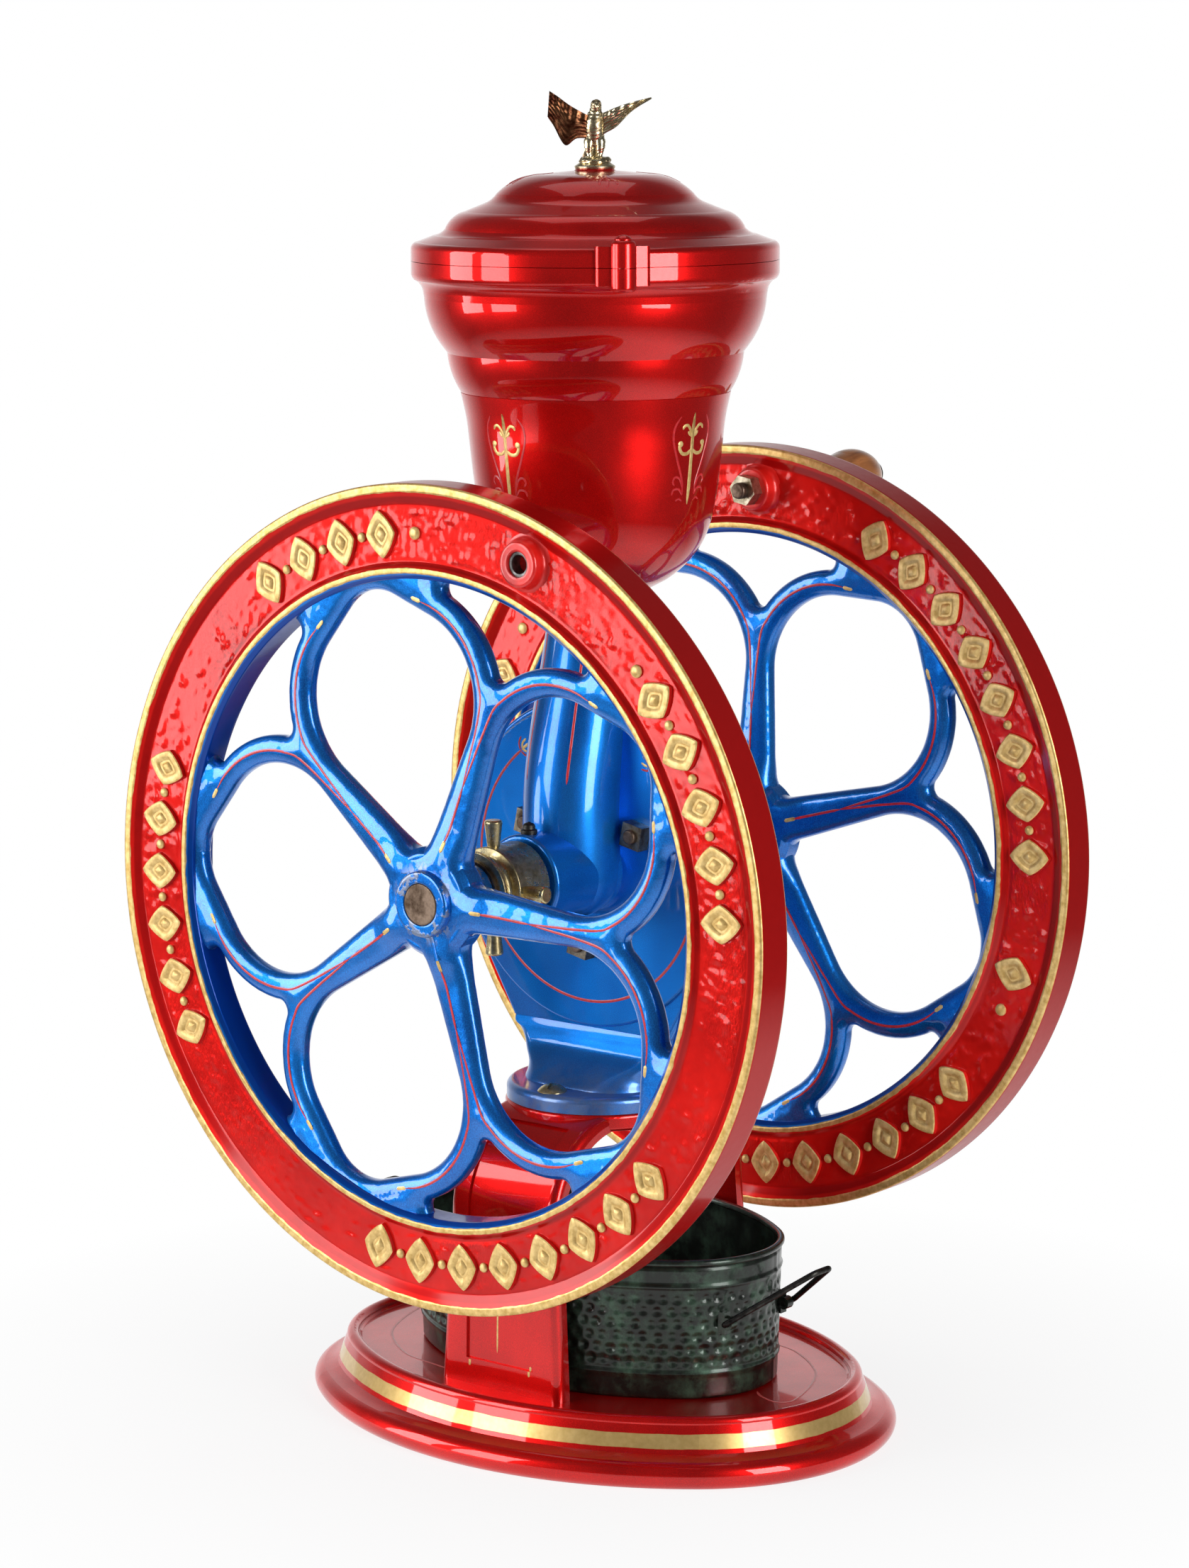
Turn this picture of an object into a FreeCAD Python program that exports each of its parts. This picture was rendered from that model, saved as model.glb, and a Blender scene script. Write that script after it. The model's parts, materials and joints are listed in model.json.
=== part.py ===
import FreeCAD, Part
import math
import os

from FreeCAD import Vector

# Hand cranked coffee mill with two flywheels, all sizes in millimetres.
# X runs along the axle with the front wheel at minus X, Y runs across,
# Z is up, and the origin is the centre of the underside of the base.

# Heights that stack up from the table to the axle
arch_height = 175.0
foot_height = 38.5
foot_top = arch_height + foot_height
case_radius = 91.0
case_foot_overlap = 2.5
axle_height = foot_top + case_radius - case_foot_overlap

# Axle and wheels
axle_radius = 11.0
running_fit = 0.05
wheel_radius = 216.0
rim_width = 21.4
front_wheel_x = -132.1
rear_wheel_x = 140.1
wheel_lean = {"front": 69.3, "rear": 87.4}
spoke_count = 5
rim_depth = 49.0
rim_inner_radius = wheel_radius - rim_depth
rim_lip = 4.0
rim_slope = 7.0
rim_field_depth = 3.0
inner_lip_radius = rim_inner_radius + 5.0
inner_field_radius = inner_lip_radius + 4.0
spoke_web = 13.0
spoke_round = 5.4
hub_radius = 25.0
stem_half_width_end = 8.0
fork_radius = rim_inner_radius - 74.0
fork_bend = 52.0
arm_width = 14.0
petal_start = 22.0
petal_start_round = 11.0
petal_end_round = 30.0
fan_round = 5.6
hub_face_height = 13.9
hub_ring_radius = 17.6
hub_step = 9.0
hub_boss_radius = 16.0
crank_circle = wheel_radius - 23.5
crank_hole_radius = 4.6
crank_boss_radius = 12.0
crank_boss_height = 5.0
set_screw_radius = 4.0
rear_boss_gap = 4.0

# Crank grip and its bolt
bolt_radius = 4.5
grip_length = 86.0
grip_neck_radius = 9.0
grip_belly_radius = 14.5
grip_waist_radius = 10.2
grip_gap = 0.6
washer_thickness = 1.6
crank_nut_flats = 15.0
crank_nut_height = 7.5

# Mill body
case_front_x = -10.0
case_back_x = 26.0
case_wall = 8.0
case_edge_round = 2.5
case_disc_step = 2.0
case_disc_inset = 3.2
case_ring_wall = 9.0
barrel_radius = 24.7
barrel_end_x = -64.5
spigot_radius = 16.5
spigot_end_x = -89.0
worm_bore_radius = 19.0
bush_outer_radius = 14.0
front_bush_x = -52.0
oil_hole_radius = 2.4
oil_hole_x = -58.0
column_radius = 26.0
column_foot_x = -22.0
column_stations = [(20.0, -22.6, 0.0), (54.0, -20.4, 0.0), (79.0, -15.0, 0.0), (122.0, -6.5, 2.0)]
column_split = 43.0
column_top = axle_height + 147.0
column_top_radius = 25.0
throat_radius = 18.5
foot_flange_radius = 50.2
foot_flange_thick = 9.0
foot_pocket_height = 40.0
foot_split = 1.0
foot_ledge = 0.5
foot_top_half = 54.0
foot_wall = 6.0
# The flare: share of the way down, front x, back x, half width, corner radius.
foot_stations = [(0.19, -8.3, 25.6, 51.5, 6.0), (0.39, -11.0, 26.0, 48.5, 10.0),
                 (0.59, -16.5, 27.2, 44.5, 14.0), (0.75, -22.5, 28.8, 40.8, 19.0),
                 (0.90, -28.0, 30.2, 40.0, 24.0), (1.00, -31.0, 31.0, 41.5, 28.5)]
foot_stub = 2.0
foot_slot_turn = 20.0
chute_radius = 30.0
burr_bolt_circle = 42.0
burr_bolt_radius = 4.0
burr_bolt_angles = (30.0, 150.0, 270.0)
burr_nut_flats = 13.0
burr_nut_height = 8.0
burr_nut_turn = 12.0

# Burrs
burr_radius = 76.0
burr_eye_radius = 30.0
fixed_burr_thick = 11.0
runner_burr_thick = 8.0
burr_gap = 1.5
burr_grooves = 18
runner_hub_radius = 19.0
worm_root_radius = 13.5
worm_tip_radius = 18.2
worm_pitch = 16.0
pin_radius = 3.0

# Rear cover
cover_thick = 7.0
cover_boss_radius = 22.0
cover_boss_end_x = 72.0
cover_screw_count = 6
cover_screw_radius = 2.5
cover_screw_head = 5.0

# Adjusting nut
nut_front_x = -103.6
nut_back_x = -67.0
nut_band_radius = 22.0
nut_groove_radius = 16.4
nut_thread_fit = 0.1
nut_web = 12.6
knob_x = -87.0
knob_count = 4
knob_length = 14.4
knob_base_radius = 3.2
knob_tip_radius = 4.9
thrust_washer_thick = 2.0

# Pedestal
base_half_x = 131.0
base_half_y = 174.0
base_end_radius = 108.0
base_floor = 29.0
base_floor_thick = 6.0
base_rim_top = 33.5
base_rib = 10.0
arch_half_x = 84.0
arch_leg_spread = 2.5
arch_wall = 9.0
arch_shoulder = 56.0
arch_half_y_top = 36.0
arch_half_y_bottom = 41.5
arch_pad_radius = 51.0
arch_edge_round = 5.0
panel_bead = 13.0
panel_depth = 1.4
foot_screw_circle = 40.2
foot_screw_radius = 3.0
foot_screw_head = 7.9

# Hopper and lid
hopper_wall = 4.0
hopper_seat = column_top
hopper_spigot = 9.0
hopper_spigot_radius = 20.0
hopper_screw_radius = 2.5
hopper_height = 176.0
hopper_top = hopper_seat + hopper_height
hopper_rim_radius = 97.0
lid_gap = 0.3
lid_pin_angle = 227.0
lid_pin_circle = 99.5
lid_pin_radius = 3.0
knuckle_radius = 6.6
knuckle_half_width = 14.0
knuckle_bottom = hopper_top - 12.0
knuckle_top = hopper_top + 14.0

# Finial
finial_base_radius = 11.0
finial_base_z = hopper_top + 47.3
finial_stud_radius = 2.5
finial_seat_thick = 4.3
finial_nut_flats = 9.0
finial_height = 40.7
finial_wing_left = 24.0
finial_wing_right = 30.0
finial_turn = 218.0

# Catch tin and its bails
tin_half_x = 74.0
tin_half_y = 114.0
tin_end_radius = 53.0
tin_taper = 2.6
tin_bottom = 29.3
tin_top = 106.0
tin_wall = 1.4
tin_shift_y = 2.0
tin_bead = 0.9
ear_half_span = 25.0
ear_z = 71.0
ear_radius = 3.4
ear_width = 5.0
ear_stand_off = 4.3
bail_wire = 1.6
bail_nose = 7.0
bail_length = 52.0
bail_lift = 36.0


def point(x, y, z):
    return Vector(float(x), float(y), float(z))


def corner_wire(corners, place):
    """A closed outline from (a, b, radius) corners, each corner rounded by its radius."""
    count = len(corners)
    edges = []
    starts = []
    ends = []
    mids = []
    for i in range(count):
        a, b, radius = corners[i]
        before = corners[i - 1]
        after = corners[(i + 1) % count]
        here = Vector(a, b, 0)
        back = Vector(before[0], before[1], 0) - here
        ahead = Vector(after[0], after[1], 0) - here
        back.normalize()
        ahead.normalize()
        half = back.getAngle(ahead) / 2.0
        if radius <= 0:
            starts.append(here)
            ends.append(here)
            mids.append(None)
            continue
        reach = radius / math.tan(half)
        middle = back + ahead
        middle.normalize()
        centre = here + middle * (radius / math.sin(half))
        starts.append(here + back * reach)
        ends.append(here + ahead * reach)
        mids.append(centre - middle * radius)
    for i in range(count):
        if mids[i] is not None:
            edges.append(Part.Arc(place(starts[i]), place(mids[i]), place(ends[i])).toShape())
        after = starts[(i + 1) % count]
        if (after - ends[i]).Length > 1e-6:
            edges.append(Part.makeLine(place(ends[i]), place(after)))
    return Part.Wire(edges)


def path_wire(start, steps, place):
    """A closed outline from a start, then (a, b) lines and (mid, end) arcs."""
    here = Vector(start[0], start[1], 0)
    first = here
    edges = []
    for step in steps:
        if isinstance(step[0], tuple):
            middle = Vector(step[0][0], step[0][1], 0)
            after = Vector(step[1][0], step[1][1], 0)
            edges.append(Part.Arc(place(here), place(middle), place(after)).toShape())
        else:
            after = Vector(step[0], step[1], 0)
            edges.append(Part.makeLine(place(here), place(after)))
        here = after
    if (here - first).Length > 1e-6:
        edges.append(Part.makeLine(place(here), place(first)))
    return Part.Wire(edges)


def on_radius_z(v):
    return point(v.x, 0, v.y)


def on_axle(v):
    return point(v.x, 0, axle_height + v.y)


def raised(steps, base, stretch):
    """Outline steps whose heights count from a base and are stretched together."""
    moved = []
    for step in steps:
        if isinstance(step[0], tuple):
            moved.append(tuple((a, base + b * stretch) for a, b in step))
        else:
            moved.append((step[0], base + step[1] * stretch))
    return moved


def turned(wire):
    """A solid turned about the vertical axis."""
    return Part.Face(wire).revolve(point(0, 0, 0), point(0, 0, 1), 360)


def turned_on_axle(corners):
    """A solid turned about the axle from (x, radius, rounding) corners."""
    face = Part.Face(corner_wire(corners, on_axle))
    return face.revolve(point(0, 0, axle_height), point(1, 0, 0), 360)


def rod_x(radius, x0, x1, y=0.0, z=axle_height):
    return Part.makeCylinder(radius, x1 - x0, point(x0, y, z), point(1, 0, 0))


def rod_z(radius, z0, z1, x=0.0, y=0.0):
    return Part.makeCylinder(radius, z1 - z0, point(x, y, z0), point(0, 0, 1))


def around_axle(shape, degrees):
    copy = shape.copy()
    copy.rotate(point(0, 0, axle_height), point(1, 0, 0), degrees)
    return copy


def around_z(shape, degrees):
    copy = shape.copy()
    copy.rotate(point(0, 0, 0), point(0, 0, 1), degrees)
    return copy


def fused(shapes):
    first = shapes[0]
    if len(shapes) > 1:
        first = first.fuse(shapes[1:])
    return first.removeSplitter()


def oval_arcs(half_x, half_y, end_radius):
    """Four tangent arcs that make an oval: centre x, centre y, radius, start, sweep."""
    offset = half_y - end_radius
    side = (half_x ** 2 + offset ** 2 - end_radius ** 2) / (2.0 * (half_x - end_radius))
    turn = math.degrees(math.atan2(offset, side - half_x))
    return [
        (half_x - side, 0.0, side, -turn, 2 * turn),
        (0.0, offset, end_radius, turn, 180 - 2 * turn),
        (side - half_x, 0.0, side, 180 - turn, 2 * turn),
        (0.0, -offset, end_radius, 180 + turn, 180 - 2 * turn),
    ]


def oval_ring(arcs, start, steps):
    """A ring on an oval from an outline in (inward distance, height)."""
    pieces = []
    for cx, cy, radius, begin, sweep in arcs:
        wire = path_wire(start, steps, lambda v: point(radius - v.x, 0, v.y))
        wedge = Part.Face(wire).revolve(point(0, 0, 0), point(0, 0, 1), sweep)
        wedge.rotate(point(0, 0, 0), point(0, 0, 1), begin)
        wedge.translate(point(cx, cy, 0))
        pieces.append(wedge)
    return fused(pieces)


def oval_plate(arcs, inset, z0, z1):
    edges = []
    for cx, cy, radius, begin, sweep in arcs:
        r = radius - inset
        angles = [math.radians(begin + sweep * k / 2.0) for k in range(3)]
        p = [point(cx + r * math.cos(a), cy + r * math.sin(a), z0) for a in angles]
        edges.append(Part.Arc(p[0], p[1], p[2]).toShape())
    return Part.Face(Part.Wire(edges)).extrude(point(0, 0, z1 - z0))


def square_x(flats, x0, x1, y, z, sides=4, turn=45.0, hole=0.0):
    """A nut body: a prism with the given number of sides along X."""
    reach = flats / 2.0 / math.cos(math.pi / sides)
    corners = []
    for k in range(sides):
        angle = math.radians(turn + 360.0 * k / sides)
        corners.append(point(x0, y + reach * math.cos(angle), z + reach * math.sin(angle)))
    corners.append(corners[0])
    body = Part.Face(Part.makePolygon(corners)).extrude(point(x1 - x0, 0, 0))
    if hole > 0:
        body = body.cut(rod_x(hole, x0 - 1, x1 + 1, y, z))
    return body


def save(shape, name):
    shape.exportStep("parts/" + name + ".step")
    print(name, len(shape.Solids), shape.isValid(), round(shape.Volume / 1000.0, 2))


def polar(radius, degrees):
    """Place on a wheel or case face: y and z at an angle from minus Y towards up."""
    a = math.radians(degrees)
    return -radius * math.cos(a), axle_height + radius * math.sin(a)


# Wheels

def wheel_rim(mid_x, boss_angle):
    """The flat faced rim with raised lips, a sunk field on both faces and a crank boss."""
    h = rim_width / 2.0
    deep = h - rim_field_depth
    outer = wheel_radius
    slope = outer - rim_lip - rim_slope
    face = [
        (mid_x - h, outer, 1.5), (mid_x - h, outer - rim_lip, 0.8),
        (mid_x - deep, slope, 2.0), (mid_x - deep, inner_field_radius, 1.5),
        (mid_x - h, inner_lip_radius, 0.8), (mid_x - h, inner_lip_radius - 2.0, 0.8),
        (mid_x - deep, rim_inner_radius, 2.0), (mid_x + deep, rim_inner_radius, 2.0),
        (mid_x + h, inner_lip_radius - 2.0, 0.8), (mid_x + h, inner_lip_radius, 0.8),
        (mid_x + deep, inner_field_radius, 1.5), (mid_x + deep, slope, 2.0),
        (mid_x + h, outer - rim_lip, 0.8), (mid_x + h, outer, 1.5),
    ]
    rim = turned_on_axle(face)
    y, z = polar(crank_circle, boss_angle)
    half_boss = h + crank_boss_height
    boss = rod_x(crank_boss_radius, mid_x - half_boss, mid_x + h, y, z)
    ends = [e for e in boss.Edges if abs(e.CenterOfMass.x - (mid_x - half_boss)) < 0.01]
    boss = boss.makeFillet(1.5, ends)
    rim = fused([rim, boss])
    return rim.cut(rod_x(crank_hole_radius, mid_x - half_boss - 1, mid_x + h + 1, y, z))


def petal_window():
    """The window between two spokes, on the line halfway between them."""
    half = math.pi / spoke_count
    edge = fork_radius + fork_bend - arm_width / 2.0
    side = stem_half_width_end - 2.5
    a = edge * math.cos(half) + side * math.sin(half)
    b = edge * math.sin(half) - side * math.cos(half)
    bend = fork_bend - arm_width / 2.0
    corners = [
        (petal_start, 0, petal_start_round), (a, b, bend),
        (edge / math.cos(half), 0, petal_end_round), (a, -b, bend),
    ]
    wire = corner_wire(corners, lambda v: point(v.x, v.y, 0))
    return Part.Face(wire).extrude(point(0, 0, spoke_web))


def fan_window():
    """The window inside the fork of one spoke, on that spoke's own line."""
    bend = fork_bend + arm_width / 2.0
    far = fork_radius + bend
    outer = rim_inner_radius + 2.0
    crotch = fork_radius + math.sqrt(bend ** 2 - fork_bend ** 2)
    tip = math.sqrt(outer ** 2 - far ** 2)
    lean = (math.atan2(fork_bend, crotch - fork_radius)) / 2.0
    mid_a = fork_radius + bend * math.cos(lean)
    mid_b = fork_bend - bend * math.sin(lean)
    steps = [
        ((mid_a, mid_b), (far, fork_bend)), (far, tip), ((outer, 0), (far, -tip)),
        (far, -fork_bend), ((mid_a, -mid_b), (crotch, 0)),
    ]
    wire = path_wire((crotch, 0), steps, lambda v: point(v.x, v.y, 0))
    prism = Part.Face(wire).extrude(point(0, 0, spoke_web))
    tall = [e for e in prism.Edges if abs(e.Vertexes[0].Z - e.Vertexes[-1].Z) > 1.0]
    sharp = [e for e in tall if abs(abs(e.Vertexes[0].Y) - fork_bend) > 0.01]
    return prism.makeFillet(fan_round, sharp).Solids[0]


def wheel_spokes(mid_x, inward, first_angle):
    """Hub and five forked spokes, rounded from a web, with a long boss on the inward side."""
    web = Part.makeCylinder(rim_inner_radius + 9.0, spoke_web)
    windows = []
    for k in range(spoke_count):
        turn = 360.0 * k / spoke_count
        windows.append(around_z(fan_window(), turn))
        windows.append(around_z(petal_window(), turn + 180.0 / spoke_count))
    web = web.cut(windows[0].fuse(windows[1:]))
    sharp = []
    for edge in web.Edges:
        middle = edge.valueAt((edge.FirstParameter + edge.LastParameter) / 2.0)
        on_face = middle.z < 0.01 or middle.z > spoke_web - 0.01
        if on_face and math.hypot(middle.x, middle.y) < rim_inner_radius + 3.0:
            sharp.append(edge)
    web = web.makeFillet(spoke_round, sharp).Solids[0]
    web = web.common(Part.makeCylinder(rim_inner_radius, spoke_web))
    web.translate(point(0, 0, -spoke_web / 2.0))
    web.rotate(point(0, 0, 0), point(0, 1, 0), 90)
    web.rotate(point(0, 0, 0), point(1, 0, 0), -90.0 - first_angle)
    web.translate(point(mid_x, 0, axle_height))
    out = -inward
    hub = turned_on_axle([
        (mid_x + out * hub_face_height, 0, 0), (mid_x + out * hub_face_height, hub_ring_radius, 1.5),
        (mid_x + out * hub_step, hub_ring_radius, 1.0), (mid_x + out * hub_step, hub_radius, 2.0),
        (mid_x - out * hub_step, hub_radius, 3.0), (mid_x - out * hub_step, hub_boss_radius, 3.0),
        (boss_end(inward), hub_boss_radius, 1.0), (boss_end(inward), 0, 0),
    ])
    spokes = fused([web, hub])
    spokes = spokes.cut(rod_x(axle_radius, mid_x - 80, mid_x + 80))
    screw = set_screw(mid_x, inward, first_angle)
    return spokes.cut(screw)


def boss_end(inward):
    if inward > 0:
        return nut_front_x - thrust_washer_thick - 2 * running_fit
    return cover_boss_end_x + rear_boss_gap


def set_screw(mid_x, inward, first_angle):
    """A grub screw that runs in along the lowest spoke and bites the axle."""
    x = mid_x - inward * spoke_web / 2.0
    top = hub_radius + 5.0
    screw = rod_z(set_screw_radius, axle_height - top, axle_height - axle_radius, x)
    slot = Part.makeBox(1.2, 20, 2.0, point(x - 0.6, -10, axle_height - top - 0.5))
    lowest = first_angle + 3 * 360.0 / spoke_count
    return around_axle(screw.cut(slot), 270.0 - lowest)


def axle():
    body = rod_x(axle_radius, front_wheel_x - hub_face_height, rear_wheel_x + hub_face_height)
    ends = [e for e in body.Edges if abs(e.Length - 2 * math.pi * axle_radius) < 0.01]
    body = body.makeFillet(0.8, ends).Solids[0]
    return body.cut(fused(drive_pin_rods()))


# Mill body

def case_outline(x, inset=0.0):
    """Round case seen from the front, running by its tangents into the foot."""
    radius = case_radius - inset
    side = foot_top_half - inset
    drop = axle_height - foot_top
    reach = math.hypot(side, drop)
    turn = math.acos(radius / reach) - math.atan2(drop, side)
    ty = radius * math.cos(turn)
    tz = axle_height + radius * math.sin(turn)
    wire = Part.Wire([
        Part.makeLine(point(x, -side, foot_top), point(x, -ty, tz)),
        Part.Arc(point(x, -ty, tz), point(x, 0, axle_height + radius), point(x, ty, tz)).toShape(),
        Part.makeLine(point(x, ty, tz), point(x, side, foot_top)),
        Part.makeLine(point(x, side, foot_top), point(x, -side, foot_top)),
    ])
    return Part.Face(wire)


def rounded_section(x0, x1, half_y, radius, z):
    corners = [(x0, -half_y, radius), (x1, -half_y, radius), (x1, half_y, radius),
               (x0, half_y, radius)]
    return corner_wire(corners, lambda v: point(v.x, v.y, z))


def lofted(sections):
    return Part.makeLoft([rounded_section(*section) for section in sections], True, False)


def foot_loft(wall):
    """The hollow curved flare under the case, or its inside when a wall is taken off."""
    inside = case_front_x + wall + foot_ledge
    top = wall + foot_ledge
    front = inside if wall else case_front_x + case_disc_step + foot_ledge
    sections = [(front, case_back_x - top, foot_top_half - top, case_edge_round, foot_top)]
    flange_top = arch_height + foot_flange_thick
    for share, x0, x1, half_y, radius in foot_stations:
        x0 = min(x0 + wall, inside)
        sections.append((x0, x1 - wall, half_y - wall, max(radius - wall, 2.0),
                         foot_top - share * (foot_top - flange_top)))
    sections.append(sections[-1][:4] + (flange_top - foot_stub,))
    return lofted(sections)


def foot_throat():
    """The straight hollow that carries the flare's inside down through the flange."""
    share, x0, x1, half_y, radius = foot_stations[-1]
    bottom = arch_height - 1
    section = rounded_section(x0 + foot_wall, x1 - foot_wall, half_y - foot_wall,
                              radius - foot_wall, bottom)
    top = arch_height + foot_flange_thick - foot_stub
    return Part.Face(section).extrude(point(0, 0, top - bottom))


def column_loft(radius_change, bottom, top):
    """The leaning round column, or its bore when the radius is changed."""
    stations = [(bottom, column_foot_x, column_radius)]
    for height, x, drawn_in in column_stations:
        stations.append((axle_height + height, x, column_radius - drawn_in))
    stations.append((top, 0.0, column_top_radius))
    rings = []
    for z, x, radius in stations:
        circle = Part.Circle(point(x, 0, z), point(0, 0, 1), radius + radius_change)
        rings.append(Part.Wire([circle.toShape()]))
    return Part.makeLoft(rings, True, False)


def mill_body():
    """Front of the case, its foot, the barrel on the axle and the column in one casting."""
    depth = case_back_x - case_front_x
    face_x = case_front_x + case_disc_step
    case = case_outline(face_x).extrude(point(depth - case_disc_step, 0, 0))
    rim = [e for e in case.Edges
           if abs(e.BoundBox.XMax - face_x) < 0.01 and e.CenterOfMass.z > foot_top + 1]
    case = case.makeFillet(case_edge_round, rim).Solids[0]
    disc = rod_x(case_radius - case_disc_inset, case_front_x, face_x + 4.0)
    edge = [e for e in disc.Edges if abs(e.BoundBox.XMax - case_front_x) < 0.01]
    disc = disc.makeFillet(0.75 * case_disc_step, edge).Solids[0]
    flange = rod_z(foot_flange_radius, arch_height, arch_height + foot_flange_thick)
    top_edge = [e for e in flange.Edges
                if abs(e.BoundBox.ZMin - arch_height - foot_flange_thick) < 0.01]
    flange = flange.makeFillet(3.5, top_edge).Solids[0]
    barrel = rod_x(barrel_radius, barrel_end_x, case_front_x + 1)
    nose = [e for e in barrel.Edges if abs(e.BoundBox.XMax - barrel_end_x) < 0.01]
    barrel = barrel.makeFillet(2.0, nose).Solids[0]
    spigot = rod_x(spigot_radius, spigot_end_x, barrel_end_x + 1)
    elbow = Part.makeSphere(column_radius, point(column_foot_x, 0, axle_height))
    across = 2 * column_radius
    elbow = elbow.common(Part.makeBox(across, across, across, point(
        -across, -column_radius, axle_height - column_radius)))
    body = fused([case, disc, foot_loft(0.0), flange, barrel, spigot,
                  column_loft(0.0, axle_height, column_top), elbow])
    hollow = [
        rod_x(case_radius - case_ring_wall, case_front_x + case_wall, case_back_x + 1),
        foot_loft(foot_wall), foot_throat(),
        case_outline(case_front_x + foot_wall, foot_wall + 1).extrude(
            point(depth - 2 * foot_wall, 0, 0)).common(
            Part.makeBox(2 * case_radius, 2 * case_radius, foot_pocket_height, point(
                -case_radius, -case_radius, foot_top - 0.5))),
        rod_x(worm_bore_radius, front_bush_x, case_front_x + case_wall + 1),
        rod_x(bush_outer_radius, spigot_end_x - 1, front_bush_x + 1),
        column_loft(throat_radius - column_radius, axle_height, column_top - hopper_spigot),
        rod_z(hopper_spigot_radius + 0.1, column_top - hopper_spigot - 0.3, column_top + 1),
        rod_z(oil_hole_radius, axle_height + axle_radius, axle_height + 40, oil_hole_x),
        rod_x(hopper_screw_radius, 10, 40, 0, column_top - hopper_spigot / 2.0),
    ]
    for y, z in burr_bolt_places():
        hollow.append(rod_x(burr_bolt_radius + 0.1, case_front_x - 1, case_back_x, y, z))
    for y, z in cover_screw_places():
        hollow.append(rod_x(cover_screw_radius, case_back_x - 14, case_back_x + 1, y, z))
    for x in (-foot_screw_circle, foot_screw_circle):
        hollow.append(rod_z(foot_screw_radius + 0.1, arch_height - 1, arch_height + 13, x))
    return body.cut(hollow[0].fuse(hollow[1:]))


def mill_castings():
    """The blue casting as body, foot and column, split where flat faces leave each one simple."""
    body = mill_body()
    split = axle_height + column_split
    around = 4 * column_radius
    above = Part.makeBox(around, around, column_top - split + 1, point(
        -around / 2.0, -around / 2.0, split))
    column = column_loft(0.0, axle_height, column_top).common(above)
    wide = 2 * (foot_top_half + foot_flange_radius)
    below = Part.makeBox(wide, wide, foot_height - foot_split + 1,
                         point(-wide / 2.0, -wide / 2.0, arch_height - 1))
    return body.cut(column.fuse(below)), body.common(below), body.common(column)


def burr_bolt_places():
    return [polar(burr_bolt_circle, a) for a in burr_bolt_angles]


def cover_screw_places():
    span = 220.0 / (cover_screw_count - 1)
    circle = case_radius - case_ring_wall / 2.0
    return [polar(circle, -20.0 + span * k) for k in range(cover_screw_count)]


def rear_cover():
    plate = case_outline(case_back_x).extrude(point(cover_thick, 0, 0))
    back = case_back_x + cover_thick
    rim = [e for e in plate.Edges if abs(e.BoundBox.XMin - back) < 0.01]
    plate = plate.makeFillet(2.0, rim).Solids[0]
    boss = turned_on_axle([
        (back - 1, 0, 0), (back - 1, cover_boss_radius + 14, 0), (back + 3, cover_boss_radius + 9, 3),
        (back + 14, cover_boss_radius, 12), (cover_boss_end_x, cover_boss_radius, 2),
        (cover_boss_end_x, 0, 0)])
    cover = fused([plate, boss])
    cover = cover.cut(rod_x(bush_outer_radius, case_back_x - 1, cover_boss_end_x + 1))
    for y, z in cover_screw_places():
        cover = cover.cut(rod_x(cover_screw_radius + 0.1, case_back_x - 1, back + 1, y, z))
    return cover


def cover_screws():
    screws = []
    face = case_back_x + cover_thick
    for y, z in cover_screw_places():
        shank = rod_x(cover_screw_radius, case_back_x - 13, face + 1, y, z)
        head = square_x(cover_screw_head * 2, face, face + 4.0, y, z, 6, 0.0)
        screws.append(fused([shank, head]))
    return Part.makeCompound(screws)


def bush(x0, x1):
    outer = rod_x(bush_outer_radius, x0, x1)
    return outer.cut(rod_x(axle_radius + running_fit, x0 - 1, x1 + 1))


def foot_screws():
    screws = []
    seat = arch_height + foot_flange_thick
    for x in (-foot_screw_circle, foot_screw_circle):
        shank = rod_z(foot_screw_radius, arch_height - 9, seat + 1, x)
        dome = Part.makeSphere(foot_screw_head * 1.25, point(x, 0, seat - foot_screw_head * 0.72))
        dome = dome.common(rod_z(foot_screw_head, seat, seat + 10, x))
        slot = Part.makeBox(2 * foot_screw_head + 2, 1.6, 4,
                            point(x - foot_screw_head - 1, -0.8, seat + 2.2))
        slot.rotate(point(x, 0, seat), point(0, 0, 1), foot_slot_turn)
        screws.append(fused([shank, dome]).cut(slot))
    return Part.makeCompound(screws)


# Burrs and feed

def grooves(x_face, r0, r1, lean):
    """Slanted cutting grooves on a burr face."""
    cuts = []
    for k in range(burr_grooves):
        groove = Part.makeBox(3.0, r1 - r0, 4.0, point(x_face - 1.5, r0, -2.0))
        groove.rotate(point(x_face, r0, 0), point(1, 0, 0), lean)
        groove.rotate(point(x_face, 0, 0), point(1, 0, 0), 360.0 * k / burr_grooves)
        groove.translate(point(0, 0, axle_height))
        cuts.append(groove)
    return cuts


def fixed_burr():
    x0 = case_front_x + case_wall
    face = x0 + fixed_burr_thick
    ring = rod_x(burr_radius, x0, face).cut(rod_x(burr_eye_radius, x0 - 1, face + 1))
    cuts = grooves(face, burr_eye_radius + 4, burr_radius + 4, 18.0)
    for y, z in burr_bolt_places():
        cuts.append(rod_x(burr_bolt_radius + 0.1, x0 - 1, face + 1, y, z))
        cuts.append(rod_x(burr_bolt_radius + 3.1, face - 6.0, face + 1, y, z))
    return ring.cut(cuts[0].fuse(cuts[1:]))


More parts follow.
